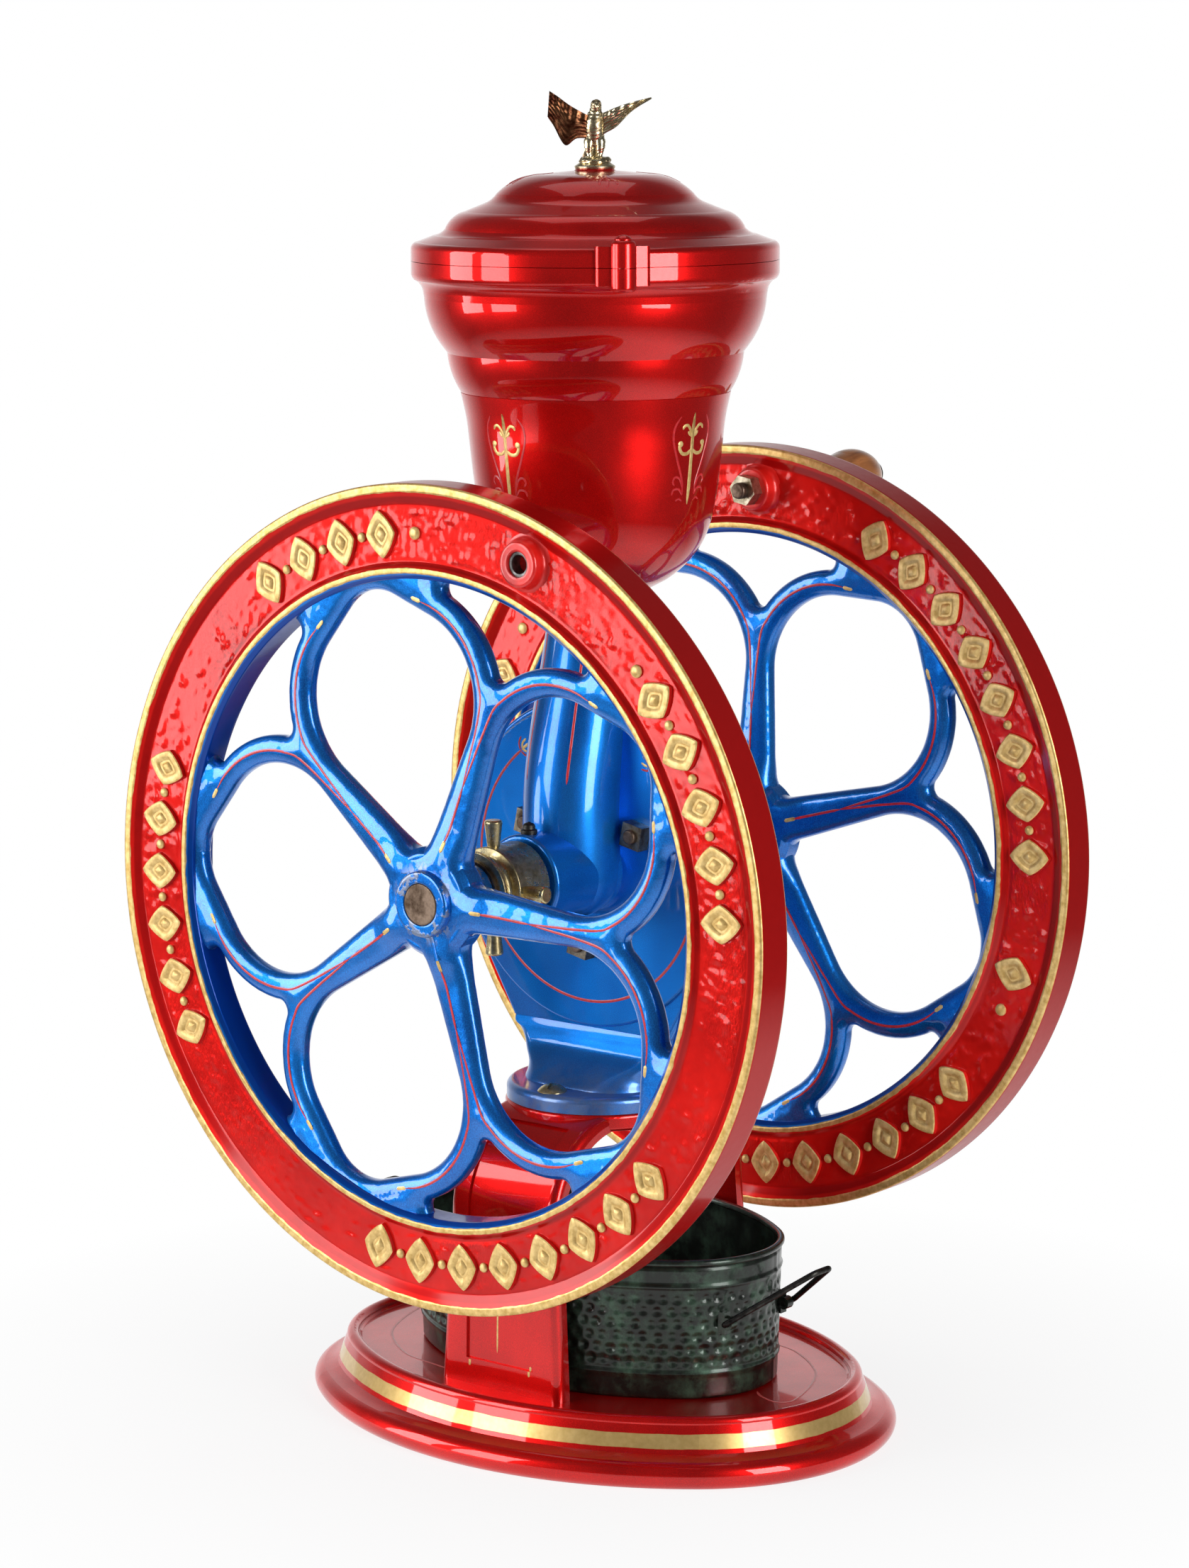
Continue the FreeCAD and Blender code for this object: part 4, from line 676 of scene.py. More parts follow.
def petal_outline():
    """Window between two spokes: a kite whose four corners are rounded by their own radii."""
    half = math.pi / SPOKES
    a = PETAL_EDGE * math.cos(half) + PETAL_STEM * math.sin(half)
    b = PETAL_EDGE * math.sin(half) - PETAL_STEM * math.cos(half)
    return rounded([(PETAL_START[0], 0, PETAL_START[1]), (a, b, PETAL_BEND),
                    (PETAL_EDGE / math.cos(half), 0, PETAL_END_ROUND), (a, -b, PETAL_BEND)], 0.8)


def spun(points, turn):
    """Flat points turned about the origin."""
    c, s = math.cos(turn), math.sin(turn)
    return points @ np.array([[c, s], [-s, c]])


def inside(points, outline):
    """True where a point is inside a closed outline: an odd number of edges crosses its level to
    the right of it."""
    a, b = outline, np.roll(outline, -1, 0)
    x, y = points[:, :1], points[:, 1:]
    crosses = (a[:, 1] > y) != (b[:, 1] > y)
    with np.errstate(divide="ignore", invalid="ignore"):
        at = a[:, 0] + (y - a[:, 1]) / (b[:, 1] - a[:, 1]) * (b[:, 0] - a[:, 0])
    return (crosses & (x < at)).sum(1) % 2 == 1


def edge_distance(points, outline):
    """Distance from each point to the nearest straight piece of a closed outline."""
    a, run = outline, np.roll(outline, -1, 0) - outline
    nearest = np.full(len(points), 1e9)
    for some in np.array_split(np.arange(len(points)), max(1, len(points) // 2000)):
        gap = points[some, None] - a
        t = np.clip((gap * run).sum(-1) / (run ** 2).sum(-1), 0, 1)
        nearest[some] = np.sqrt(((gap - t[..., None] * run) ** 2).sum(-1)).min(1)
    return nearest


FAN = fan_outline()
PETAL = spun(petal_outline(), math.pi / SPOKES)


def web_height(points):
    """Half thickness of the spokes' web at points in the wheel's plane: an elliptic crown over the
    distance to the nearest window, raised towards the hub."""
    radius = np.hypot(points[:, 0], points[:, 1])
    sector = 2 * math.pi / SPOKES
    turn = np.abs((np.arctan2(points[:, 1], points[:, 0]) + sector / 2) % sector - sector / 2)
    folded = np.stack([radius * np.cos(turn), radius * np.sin(turn)], -1)
    gap = np.minimum(edge_distance(folded, FAN), edge_distance(folded, PETAL))
    crown = np.sqrt(np.clip(1 - (1 - np.clip(gap / CROWN_REACH, 0, 1)) ** 2, 0, 1))
    near_hub = np.clip((46.0 - radius) / 20.0, 0, 1)
    flare = 3.0 * near_hub ** 2 * (3 - 2 * near_hub)
    broad = 0.7 * np.clip((gap - CROWN_REACH) / 4.0, 0, 1)
    return EDGE_HALF + (WEB_HALF - EDGE_HALF + flare + broad) * crown


def web_wedge():
    """Triangles of one tenth of the web, from a spoke's line to the middle of a petal."""
    half = math.pi / SPOKES
    step = WEB_STEP
    turns = np.linspace(0, half, 60)
    radii = np.arange(WEB_INNER_R, WEB_OUTER_R, step)
    border = [
        np.stack([radii, 0 * radii], -1),
        spun(np.stack([radii, 0 * radii], -1), half),
        np.stack([WEB_INNER_R * np.cos(turns[::12]), WEB_INNER_R * np.sin(turns[::12])], -1),
        np.stack([WEB_OUTER_R * np.cos(turns), WEB_OUTER_R * np.sin(turns)], -1),
    ]
    border[0] = np.concatenate([border[0], [[WEB_OUTER_R, 0]]])
    border[1] = np.concatenate([border[1], spun(np.array([[WEB_OUTER_R, 0]]), half)])
    fan = FAN[(FAN[:, 1] >= -1e-9)]
    fan = fan[np.argsort(np.unwrap(np.arctan2(fan[:, 1], fan[:, 0] - FAN_MIDDLE)))]
    petal = spun(PETAL, -half)
    petal = petal[petal[:, 1] <= 1e-9]
    petal = petal[np.argsort(np.arctan2(petal[:, 1], petal[:, 0] - PETAL_MIDDLE))]
    chains = border + [fan, spun(petal, half)]
    spots, edges, base = [], [], 0
    for chain in chains:
        spots.append(chain)
        edges += [(base + k, base + k + 1) for k in range(len(chain) - 1)]
        base += len(chain)
    for outline in (FAN, PETAL):
        run = np.roll(outline, -1, 0) - np.roll(outline, 1, 0)
        normal = np.stack([run[:, 1], -run[:, 0]], -1) / np.linalg.norm(run, axis=1)[:, None]
        middle = outline.mean(0)
        if ((outline - middle) * normal).sum() < 0:
            normal = -normal
        for k, gap in enumerate(EDGE_ROWS):
            some = slice(k % 2, None, 1 if k < 3 else 2)
            spots.append(outline[some] + normal[some] * gap)
    lattice = np.stack(np.meshgrid(np.arange(0, WEB_OUTER_R, step),
                                   np.arange(0, WEB_OUTER_R * 0.62, step * 0.866)), -1)
    lattice[1::2, :, 0] += step / 2
    lattice = lattice.reshape(-1, 2)
    reach = np.minimum(edge_distance(lattice, FAN), edge_distance(lattice, PETAL))
    spots.append(lattice[reach > LATTICE_CLEAR])
    spots = np.concatenate(spots)
    turn = np.arctan2(spots[:, 1], spots[:, 0])
    radius = np.hypot(spots[:, 0], spots[:, 1])
    loose = np.arange(len(spots)) >= base
    clear = (radius * np.sin(turn) > 0.45) & (radius * np.sin(half - turn) > 0.45)
    clear &= (radius > WEB_INNER_R + 0.5) & (radius < WEB_OUTER_R - 0.4)
    clear &= (turn > 0) & (turn < half)
    for outline in (FAN, PETAL):
        clear &= ~inside(spots, outline)
    gap = np.minimum(edge_distance(spots, FAN), edge_distance(spots, PETAL))
    clear &= gap > 0.1
    keep = ~loose | clear
    spots = spots[keep]
    found = delaunay_2d_cdt([Vector(p) for p in spots.tolist()], edges, [], 0, 1e-5)
    flat = np.array([tuple(v) for v in found[0]])
    faces = np.array([list(face) for face in found[2] if len(face) == 3])
    centre = flat[faces].mean(1)
    turn = np.arctan2(centre[:, 1], centre[:, 0])
    radius = np.hypot(centre[:, 0], centre[:, 1])
    good = (turn > 0) & (turn < half) & (radius > WEB_INNER_R * 0.9) & (radius < WEB_OUTER_R)
    good &= ~inside(centre, FAN) & ~inside(centre, PETAL)
    return flat, faces[good]


def web_flat():
    """The whole web's triangles: the wedge and its mirror image, turned round to each spoke."""
    flat, faces = web_wedge()
    spots, tris, base = [], [], 0
    for k in range(SPOKES):
        for sign in (1, -1):
            spots.append(spun(flat * (1, sign), 2 * math.pi * k / SPOKES))
            tris.append((faces if sign > 0 else faces[:, ::-1]) + base)
            base += len(flat)
    spots, tris = np.concatenate(spots), np.concatenate(tris)
    _, first, same = np.unique(np.round(spots, 3), axis=0, return_index=True, return_inverse=True)
    tris = same.ravel()[tris]
    spots = spots[first]
    used, tris = np.unique(tris, return_inverse=True)
    tris = tris.reshape(-1, 3)
    whole = (tris[:, 0] != tris[:, 1]) & (tris[:, 1] != tris[:, 2]) & (tris[:, 2] != tris[:, 0])
    return spots[used], tris[whole]


def wheel_axes(side):
    """Centre of a wheel, and its in-plane directions along and across the first spoke."""
    lean = math.radians(WHEEL_LEAN[side])
    along = np.array([0.0, -math.cos(lean), math.sin(lean)])
    across = np.array([0.0, -math.sin(lean), -math.cos(lean)])
    return np.array([WHEEL_X[side], 0.0, AXLE_Z]), along, across


def on_wheel(side, flat, height):
    """Points of the wheel's plane carried to their place, at a height towards plus X."""
    centre, along, across = wheel_axes(side)
    rise = np.outer(height, [1.0, 0.0, 0.0])
    return centre + flat[:, :1] * along + flat[:, 1:] * across + rise


def rim_point(side, radius, degrees, height=0.0):
    """A place on a wheel from its radius and its angle above the horizontal towards minus Y."""
    turn = math.radians(degrees)
    y, z = -radius * math.cos(turn), radius * math.sin(turn)
    return np.array([WHEEL_X[side] + height, y, AXLE_Z + z])


def spoke_web(side, flat, tris):
    """The web as a closed shell: the flat triangles raised to both faces by the web's height, with
    sand cast unevenness, and walls round every window."""
    height = web_height(flat)
    shells = []
    for face in (1, -1):
        place = on_wheel(side, flat, face * height)
        rough = (0.09 * noise(place, 3.1, 5) + 0.06 * noise(place, 1.5, 6)
                 + 0.12 * noise(place, 17.0, 7))
        crown = np.clip((height - EDGE_HALF) / 2.0, 0, 1)
        shells.append(on_wheel(side, flat, face * (height + rough * crown)))
    count = len(flat)
    edges = np.concatenate([tris[:, [0, 1]], tris[:, [1, 2]], tris[:, [2, 0]]])
    keys = np.sort(edges, 1)
    _, first, times = np.unique(keys, axis=0, return_index=True, return_counts=True)
    rim = edges[first[times == 1]]
    wall = np.stack([rim[:, 1], rim[:, 0], rim[:, 0] + count, rim[:, 1] + count], -1)
    faces = np.concatenate([tris, tris[:, ::-1] + count])
    return np.concatenate(shells), [faces, wall]


HUB_BORE = 11.02
HUB_INNER_X = {"front": -105.7, "rear": 76.0}


def hub_profile(side):
    """Half section of a hub: raised ring in a groove on the outer face, disc, and inner boss."""
    out = -1.0 if side == "front" else 1.0
    inner = (HUB_INNER_X[side] - WHEEL_X[side]) * out
    corners = [
        (13.9, HUB_BORE, 0.5), (13.9, 17.0, 1.2), (8.2, 18.0, 1.0), (9.0, 20.6, 1.0),
        (9.2, 25.4, 2.4), (5.0, 29.0, 1.5), (-5.0, 29.0, 1.5), (-9.2, 25.4, 3.0),
        (-9.6, 16.2, 3.0), (inner, 16.0, 1.0), (inner, HUB_BORE, 0.0)]
    profile = rounded([(out * x, radius, fillet) for x, radius, fillet in corners], 0.9)
    profile[:, 0] += WHEEL_X[side]
    return profile


def build_spokes(side, web):
    """Forked spokes, hub and inner boss of one wheel, replacing the plain ones."""
    parts = [spoke_web(side, *web), loft(turned_x(hub_profile(side), 160), loop=True)]
    piece(side + "_spokes", parts, FINISH["cast_blue"], "rotor", "blue_enamel",
          [side + "_wheel_spokes"], crease=50.0)


def rim_profile():
    """Closed section of the rim as (x, radius): lips, slopes and sunk fields on both faces."""
    h, deep = RIM_HALF, RIM_DEEP
    half = [(-h, 216.0, 1.2), (-h, 212.0, 0.8), (-deep, 205.0, 1.6), (-deep, 176.0, 1.2),
            (-h, 172.6, 0.6), (-h, 170.4, 0.6), (-deep, RIM_INNER_R, 1.4)]
    mirrored = [(-x, r, f) for x, r, f in half[::-1]]
    return rounded(half + mirrored, 1.25)


RIM_SEGMENTS = 700
BOLT_R = 4.62
RECESS_R = 6.4


def build_rim(side):
    """Rim of one wheel, turned from its section, with worm-like sand marks in its sunk fields, and
    the crank's boss with a dark iron sleeve in its hole, whose darkness is painted shade deep in
    the hole."""
    x = WHEEL_X[side]
    rings = turned_x(rim_profile() + np.array([x, 0.0]), RIM_SEGMENTS)
    spots = rings.reshape(-1, 3)
    off = spots[:, 0] - x
    radius = np.hypot(spots[:, 1], spots[:, 2] - AXLE_Z)
    in_field = np.clip((radius - 177.0) / 1.5, 0, 1) * np.clip((205.0 - radius) / 2.0, 0, 1)
    in_field *= np.abs(off) > RIM_DEEP - 1.0
    patch = np.clip(0.5 + 1.1 * noise(spots, 75.0, 21), 0.12, 1.0)
    worms = 1.0 - 2.2 * np.abs(noise(spots * (1.0, 1.0, 1.6), 5.2, 22))
    pimples = np.clip(noise(spots, 3.4, 23) - 0.35, 0, 1)
    height = in_field * (patch * (0.22 * worms + 0.16 * noise(spots, 2.2, 24)) + 0.9 * pimples)
    height += 0.10 * noise(spots, 26.0, 25)
    spots[:, 0] += np.sign(off) * height * (np.abs(off) > RIM_DEEP - 1.0)
    rim = piece(side + "_rim", [loft(spots.reshape(rings.shape), loop=True)], FINISH["rim"],
                "rotor", "red_cast", [side + "_wheel_rim"], crease=60.0)
    y, z = rim_point(side, CRANK_CIRCLE, WHEEL_LEAN[side])[1:]
    carved(rim, [loft(turned_x([(x - 30.0, 8.0), (x + 30.0, 8.0)], 48, (y, z)))])
    boss = rounded([(x - RIM_HALF - 5.0, RECESS_R, 0.8), (x - RIM_HALF - 5.0, 11.6, 1.5),
                    (x - RIM_DEEP - 0.9, 12.4, 2.6), (x - RIM_DEEP + 0.4, 16.5, 0.2),
                    (x - RIM_DEEP + 1.6, 12.0, 0.3), (x + RIM_DEEP - 1.2, 12.0, 0.3),
                    (x + RIM_DEEP - 0.2, 12.6, 0.2), (x + RIM_DEEP + 0.5, 12.0, 0.4),
                    (x + RIM_DEEP + 0.6, BOLT_R, 0.6), (x - RIM_DEEP, BOLT_R, 0.4),
                    (x - RIM_DEEP, RECESS_R, 0.4)], 0.8)
    piece(side + "_crank_boss", [loft(turned_x(boss, 72, (y, z)), loop=True)], FINISH["cast_red"],
          "rotor", "red_cast")
    # Dark iron lining in the boss's hole: painted shade of the deep hole
    shade_sleeve = rounded([(x - RIM_HALF - 3.4, 4.7, 0.5), (x - RIM_HALF - 3.4, 6.6, 0.3),
                      (x - RIM_DEEP + 0.3, 6.6, 0.1), (x - RIM_DEEP + 0.3, 4.7, 0.1)], 0.6)
    piece(side + "_crank_sleeve", [loft(turned_x(shade_sleeve, 48, (y, z)), loop=True)], FINISH["iron"],
          "rotor", "burr_iron")


# Rim ornaments

ORNAMENT_R = 190.5
ORNAMENT_ROWS = {
    "front": [(-152.5, -196.0, 6), (123.8, 98.3, 4), (38.5, 3.7, 5), (-40.3, -100.6, 8)],
    "rear": [(62.3, 1.6, 8), (-41.3, -94.2, 7), (-151.5, -202.5, 7), (-18.2, -18.2, 1)],
}
LONE_PEARLS = {"front": (91.6, 43.8), "rear": (-25.0, 148.0)}


def relief(outline, steps, face_steps, centre, side_way, up_way, out_way):
    """A low relief: an outline repeated at each (share of its size, height) step. Its last steps
    from face_steps on are its painted face, and the others its flanks."""
    flat = outline[:, :1] * side_way + outline[:, 1:] * up_way
    rings = [centre + share * flat + height * out_way for share, height in steps]
    points, (quads, ends) = loft(rings)
    count = len(outline)
    cut = count * face_steps
    return (points, [quads[:cut], ends[:count], quads[cut:], ends[count:]], [1, 1, 0, 0])


def lozenge(wide, tall, hollow, count=40):
    """Outline of a four pointed lozenge whose sides are drawn in: powers of cosine and sine."""
    turn = np.linspace(0, 2 * np.pi, count, endpoint=False)
    c, s = np.cos(turn), np.sin(turn)
    return np.stack([np.sign(c) * np.abs(c) ** hollow * wide / 2,
                     np.sign(s) * np.abs(s) ** hollow * tall / 2], -1)


def build_rim_ornaments(side, detail):
    """Raised gilt lozenges with a sunk ring and a boss, pearls between them, on both faces."""
    star = lozenge(detail.ornament_wide / MM, detail.ornament_tall / MM, 1.55)
    turn = np.linspace(0, 2 * np.pi, 20, endpoint=False)
    pearl = 2.6 * np.stack([np.cos(turn), np.sin(turn)], -1)
    star_steps = [(1.04, -0.9), (1.04, 0.2), (1.0, 2.0), (0.94, 2.45), (0.70, 2.7), (0.58, 2.3),
                  (0.46, 1.5), (0.34, 1.5), (0.27, 2.2), (0.16, 2.85), (0.05, 2.95)]
    pearl_steps = [(1.0, -0.9), (1.0, 0.6), (0.93, 1.3), (0.7, 1.9), (0.35, 2.2)]
    spots = [(t, star, star_steps, 2) for start, end, count in ORNAMENT_ROWS[side]
             for t in np.linspace(start, end, count)]
    for start, end, count in ORNAMENT_ROWS[side]:
        if count > 1:
            gap = (end - start) / (count - 1)
            spots += [(start + (k + 0.5) * gap, pearl, pearl_steps, 1) for k in range(count - 1)]
    spots += [(t, pearl * 1.3, pearl_steps, 1) for t in LONE_PEARLS[side]]
    parts = []
    for out in (-1.0, 1.0):
        for degrees, outline, steps, face in spots:
            turn = math.radians(degrees)
            up_way = np.array([0.0, -math.cos(turn), math.sin(turn)])
            side_way = np.array([0.0, math.sin(turn), math.cos(turn)])
            centre = rim_point(side, ORNAMENT_R, degrees, out * RIM_DEEP)
            parts.append(relief(outline, steps, face, centre, side_way, up_way,
                                np.array([out, 0.0, 0.0])))
    piece(side + "_rim_ornaments", parts, [FINISH["gold"], FINISH["cast_red"]], "rotor", "gilt",
          crease=30.0)


# Hopper

BOWL_SIDE = [(28.6, 2.7), (33.6, 5.2), (40.0, 9.0), (49.3, 17.2), (56.6, 27.4), (61.1, 39.0),
             (63.7, 52.0), (65.6, 66.0), (67.1, 80.0), (68.6, 93.0), (71.5, 107.0)]


def build_hopper_bowl():
    """The hopper's lower bowl: one fair curve turned about the vertical, a hair proud of the
    casting, and the same curve 3 mm further in."""
    side = flowing(BOWL_SIDE, 110) + (0.0, HOPPER_SEAT)
    wall = np.concatenate([side, side[::-1] - (3.0, 0.0)])
    piece("hopper_bowl", [loft(turned_z(wall, 200), loop=True)], FINISH["red"], "stand",
          "red_enamel", crease=60.0)


# Painted lines

def skin(*names):
    """The surface of some nodes or pieces, ready for finding where a straight line meets it."""
    spots, faces = [], []
    for name in names:
        made = NODES.get(name) or bpy.data.objects[name]
        faces += [tuple(len(spots) + i for i in face.vertices) for face in made.data.polygons]
        spots += [made.matrix_world @ corner.co for corner in made.data.vertices]
    return BVHTree.FromPolygons(spots, faces)


def onto(surface, starts, ways):
    """Where lines from the starts, along the ways, first meet a surface, in millimetres."""
    ways = np.broadcast_to(ways, np.shape(starts))
    hits = []
    for start, way in zip(starts, ways):
        spot = surface.ray_cast(Vector(start * MM), Vector(way).normalized())[0]
        if spot is None:
            raise ValueError(f"no surface is met from {start}")
        hits.append(spot)
    return np.array(hits) / MM


def dot(centre, up, radius, lift=0.25):
    """A drop of paint: a low round lens on a surface."""
    up = np.asarray(up, float) / np.linalg.norm(up)
    side = np.cross(up, (0.3, 0.5, 0.8))
    side /= np.linalg.norm(side)
    other = np.cross(up, side)
    turn = np.linspace(0, 2 * np.pi, 14, endpoint=False)[:, None]
    ring = np.cos(turn) * side + np.sin(turn) * other
    steps = ((0.8, -0.3), (1.0, 0.0), (0.75, 0.7 * lift), (0.35, lift))
    return loft([centre + ring * radius * share + up * height for share, height in steps])


FORK_LINE = [(66.0, 0.0), (76.0, 0.7), (86.0, 1.4), (96.0, 2.2)]


def arm_line():
    """Middle line of one arm of a fork, from the stem to short of the rim."""
    turn = np.radians(np.linspace(-68.0, 8.0, 9))
    arc = np.stack([93.0 + 51.4 * np.cos(turn), 52.0 + 51.4 * np.sin(turn)], -1)
    return flowing(np.concatenate([FORK_LINE, arc]), 74)


def build_wheel_lining(side, detail):
    """Red lines along every spoke that fork with it, with gold ticks and drops at their ends."""
    width = detail.line_width / MM / 2
    red, gold = [], []
    stem = np.stack([np.linspace(34.0, 67.0, 26), np.zeros(26)], -1)
    arm = arm_line()
    tick = np.stack([np.linspace(29.5, 36.5, 9), np.zeros(9)], -1)
    last = (arm[-1] - arm[-4]) / np.linalg.norm(arm[-1] - arm[-4])
    end = arm[-1] + np.linspace(-0.5, 6.0, 9)[:, None] * last
    for out in (-1.0, 1.0):
        up = (out, 0.0, 0.0)
        for k in range(SPOKES):
            turn = 2 * math.pi * k / SPOKES
            for flat, target, wide in (
                    (stem, red, width), (arm, red, width), (arm * (1, -1), red, width),
                    (tick, gold, 1.5 * width), (end, gold, 1.6 * width),
                    (end * (1, -1), gold, 1.6 * width)):
                here = spun(flat, turn)
                path = on_wheel(side, here, out * (web_height(here) + 0.03))
                target.append(brush(path, up, tapered(len(path), wide), 0.13, 0.5))
    piece(side + "_spoke_lines", red, FINISH["line"], "rotor", "red_enamel")
    piece(side + "_spoke_ticks", gold, FINISH["gold"], "rotor", "gilt")


# One half of the fleur, in millimetres sideways and up: points and widest half width
FLEUR_GOLD = [
    ([(0.0, 0.0), (0.1, 14.0), (0.0, 28.0), (0.0, 38.0), (0.0, 48.0)], 1.15),
    ([(0.4, 34.5), (1.6, 38.4), (4.2, 41.6), (6.6, 41.4), (7.6, 39.6)], 0.85),
    ([(0.6, 29.0), (3.4, 27.0), (7.0, 27.2), (9.0, 30.0), (8.4, 33.2)], 1.0),
    ([(0.4, 36.0), (2.4, 37.0), (3.6, 38.6)], 0.8),
]
FLEUR_RED = [
    ([(9.6, 46.5), (13.0, 41.0), (13.4, 34.0), (10.2, 24.0), (6.0, 13.5), (4.6, 5.5)], 0.7),
    ([(5.0, 8.5), (7.4, 13.6), (10.6, 15.0), (12.2, 12.6), (11.0, 10.4)], 0.6),
    ([(4.8, 5.0), (7.6, 8.4), (11.4, 8.2), (12.6, 5.4)], 0.6),
    ([(4.6, 2.0), (7.2, 3.4), (9.6, 2.2)], 0.5),
]


def both_halves(strokes):
    """Brush strokes and their mirror images."""
    return strokes + [([(-a, b) for a, b in line], wide) for line, wide in strokes]


def build_hopper_lining():
    """Four gold fleurs with red scrolls round the hopper, and red leaves on the lid."""
    surface = skin("hopper", "hopper_bowl")
    gold, red = [], []
    for azimuth in (174.5, 266.5, 354.5, 86.5):
        for strokes, target in ((both_halves(FLEUR_GOLD), gold), (both_halves(FLEUR_RED), red)):
            for line, wide in strokes:
                flat = flowing(line, 8 * len(line))
                turn = math.radians(azimuth) + flat[:, 0] / 68.0
                out = np.stack([np.cos(turn), np.sin(turn), 0 * turn], -1)
                start = out * 140.0 + np.stack([0 * turn, 0 * turn, 500.0 + flat[:, 1]], -1)
                path = onto(surface, start, -out)
                target.append(brush(path, out, tapered(len(path), wide), 0.2, 0.4))
        turn = math.radians(azimuth)
        for side in (-1, 1):
            swing = turn + side * 8.5 / 68.0
            out = np.array([[math.cos(swing), math.sin(swing), 0.0]])
            spot = onto(surface, out * 140.0 + (0, 0, 532.2), -out)[0]
            gold.append(dot(spot, out[0], 1.7, 0.3))
    piece("hopper_fleurs", gold, FINISH["gold"], "stand", "gilt")
    piece("hopper_scrolls", red, FINISH["line"], "stand", "red_enamel")

    surface = skin("lid")
    leaves = []
    for azimuth in (48.0, 138.0, 228.0, 318.0):
        for line, wide in (([(22.0, 0.0), (30.0, 0.6), (40.0, 0.0), (47.0, -1.0)], 0.9),
                           ([(36.0, 0.4), (40.0, 3.6), (45.0, 5.0)], 0.7),
                           ([(36.0, -0.4), (40.0, -3.6), (45.0, -5.0)], 0.7)):
            flat = flowing(line, 20)
            turn = math.radians(azimuth) + flat[:, 1] / flat[:, 0]
            start = np.stack([flat[:, 0] * np.cos(turn), flat[:, 0] * np.sin(turn),
                              0 * turn + HOPPER_TOP + 90.0], -1)
            path = onto(surface, start, (0.0, 0.0, -1.0))
            leaves.append(brush(path, (0.0, 0.0, 1.0), tapered(len(path), wide), 0.18, 0.4))
    piece("lid_leaves", leaves, FINISH["line"], "lid", "red_enamel")


CASE_RING_R = 73.8
CASE_RING_ENDS = (127.2, 413.0)


def build_body_lining():
    """A red circle with small fleurs on the case, lines up the column, and an oil plug."""
    red, gold = [], []
    face = CASE_FACE_X - 0.02
    up = (-1.0, 0.0, 0.0)
    first, last = CASE_RING_ENDS
    turn = np.radians(np.linspace(first, last, 380))
    ring = np.stack([0 * turn + face, CASE_RING_R * np.cos(turn),
                     AXLE_Z + CASE_RING_R * np.sin(turn)], -1)
    red.append(brush(ring, up, tapered(len(ring), 0.75, 0.01, 0.01), 0.13, 0.4))
    for degrees, way in ((first, -1.0), (last, 1.0)):
        turn = math.radians(degrees)
        out = np.array([0.0, math.cos(turn), math.sin(turn)])
        along = np.array([0.0, -math.sin(turn), math.cos(turn)]) * way
        here = np.array([face, 0.0, AXLE_Z]) + CASE_RING_R * out
        for line, wide, target in (([(0, 0), (3, 0.2), (7.5, 0)], 0.8, gold),
                                   ([(0.5, 0), (2.5, 2.6), (6.2, 3.4)], 0.65, gold),
                                   ([(0.5, 0), (2.5, -2.6), (6.2, -3.4)], 0.65, gold),
                                   ([(-1, 0.4), (0.5, 4.0), (4.0, 6.2)], 0.55, red),
                                   ([(-1, -0.4), (0.5, -4.0), (4.0, -6.2)], 0.55, red)):
            flat = flowing(line, 16)
            path = here + flat[:, :1] * along + flat[:, 1:] * out
            target.append(brush(path, up, tapered(len(path), wide), 0.16, 0.4))
    surface = skin("feed_column")
    for azimuth in (150.0, 210.0, 330.0, 30.0):
        heights = np.linspace(352.0, 436.0, 60)
        swing = math.radians(azimuth)
        out = np.array([math.cos(swing), math.sin(swing), 0.0])
        middle = np.interp(heights, (346.0, HOPPER_SEAT), (-21.0, 0.0))
        start = np.stack([middle, 0 * heights, heights], -1)
        path = onto(surface, start + 60.0 * out, -out)
        red.append(brush(path, out, tapered(len(path), 0.7, 0.05, 0.05), 0.2, 0.5))
    piece("body_lines", red, FINISH["line"], "stand", "red_enamel")
    piece("body_ticks", gold, FINISH["gold"], "stand", "gilt")
    plug = rounded([(0.0, 322.0, 0), (2.3, 322.0, 0), (2.3, 326.2, 0), (4.4, 326.2, 0.4),
                    (4.4, 328.6, 0.6), (3.4, 329.2, 0.4), (3.2, 331.6, 1.6), (0.0, 333.0, 0)],
                   0.5, closed=False)
    piece("oil_plug", [loft(turned_z(plug, 28, (-58.0, 0.0)))], FINISH["wire"], "stand",
          "burr_iron")


FLOOR_LINE = [(76.0, -38.0), (72.5, -56.0), (69.1, -77.9), (61.2, -93.1), (51.6, -105.8),
              (40.7, -116.5), (27.6, -124.1), (13.3, -129.9), (0.7, -133.6), (-7.9, -134.4),
              (-12.6, -128.5), (-9.2, -116.9), (-4.0, -110.0)]


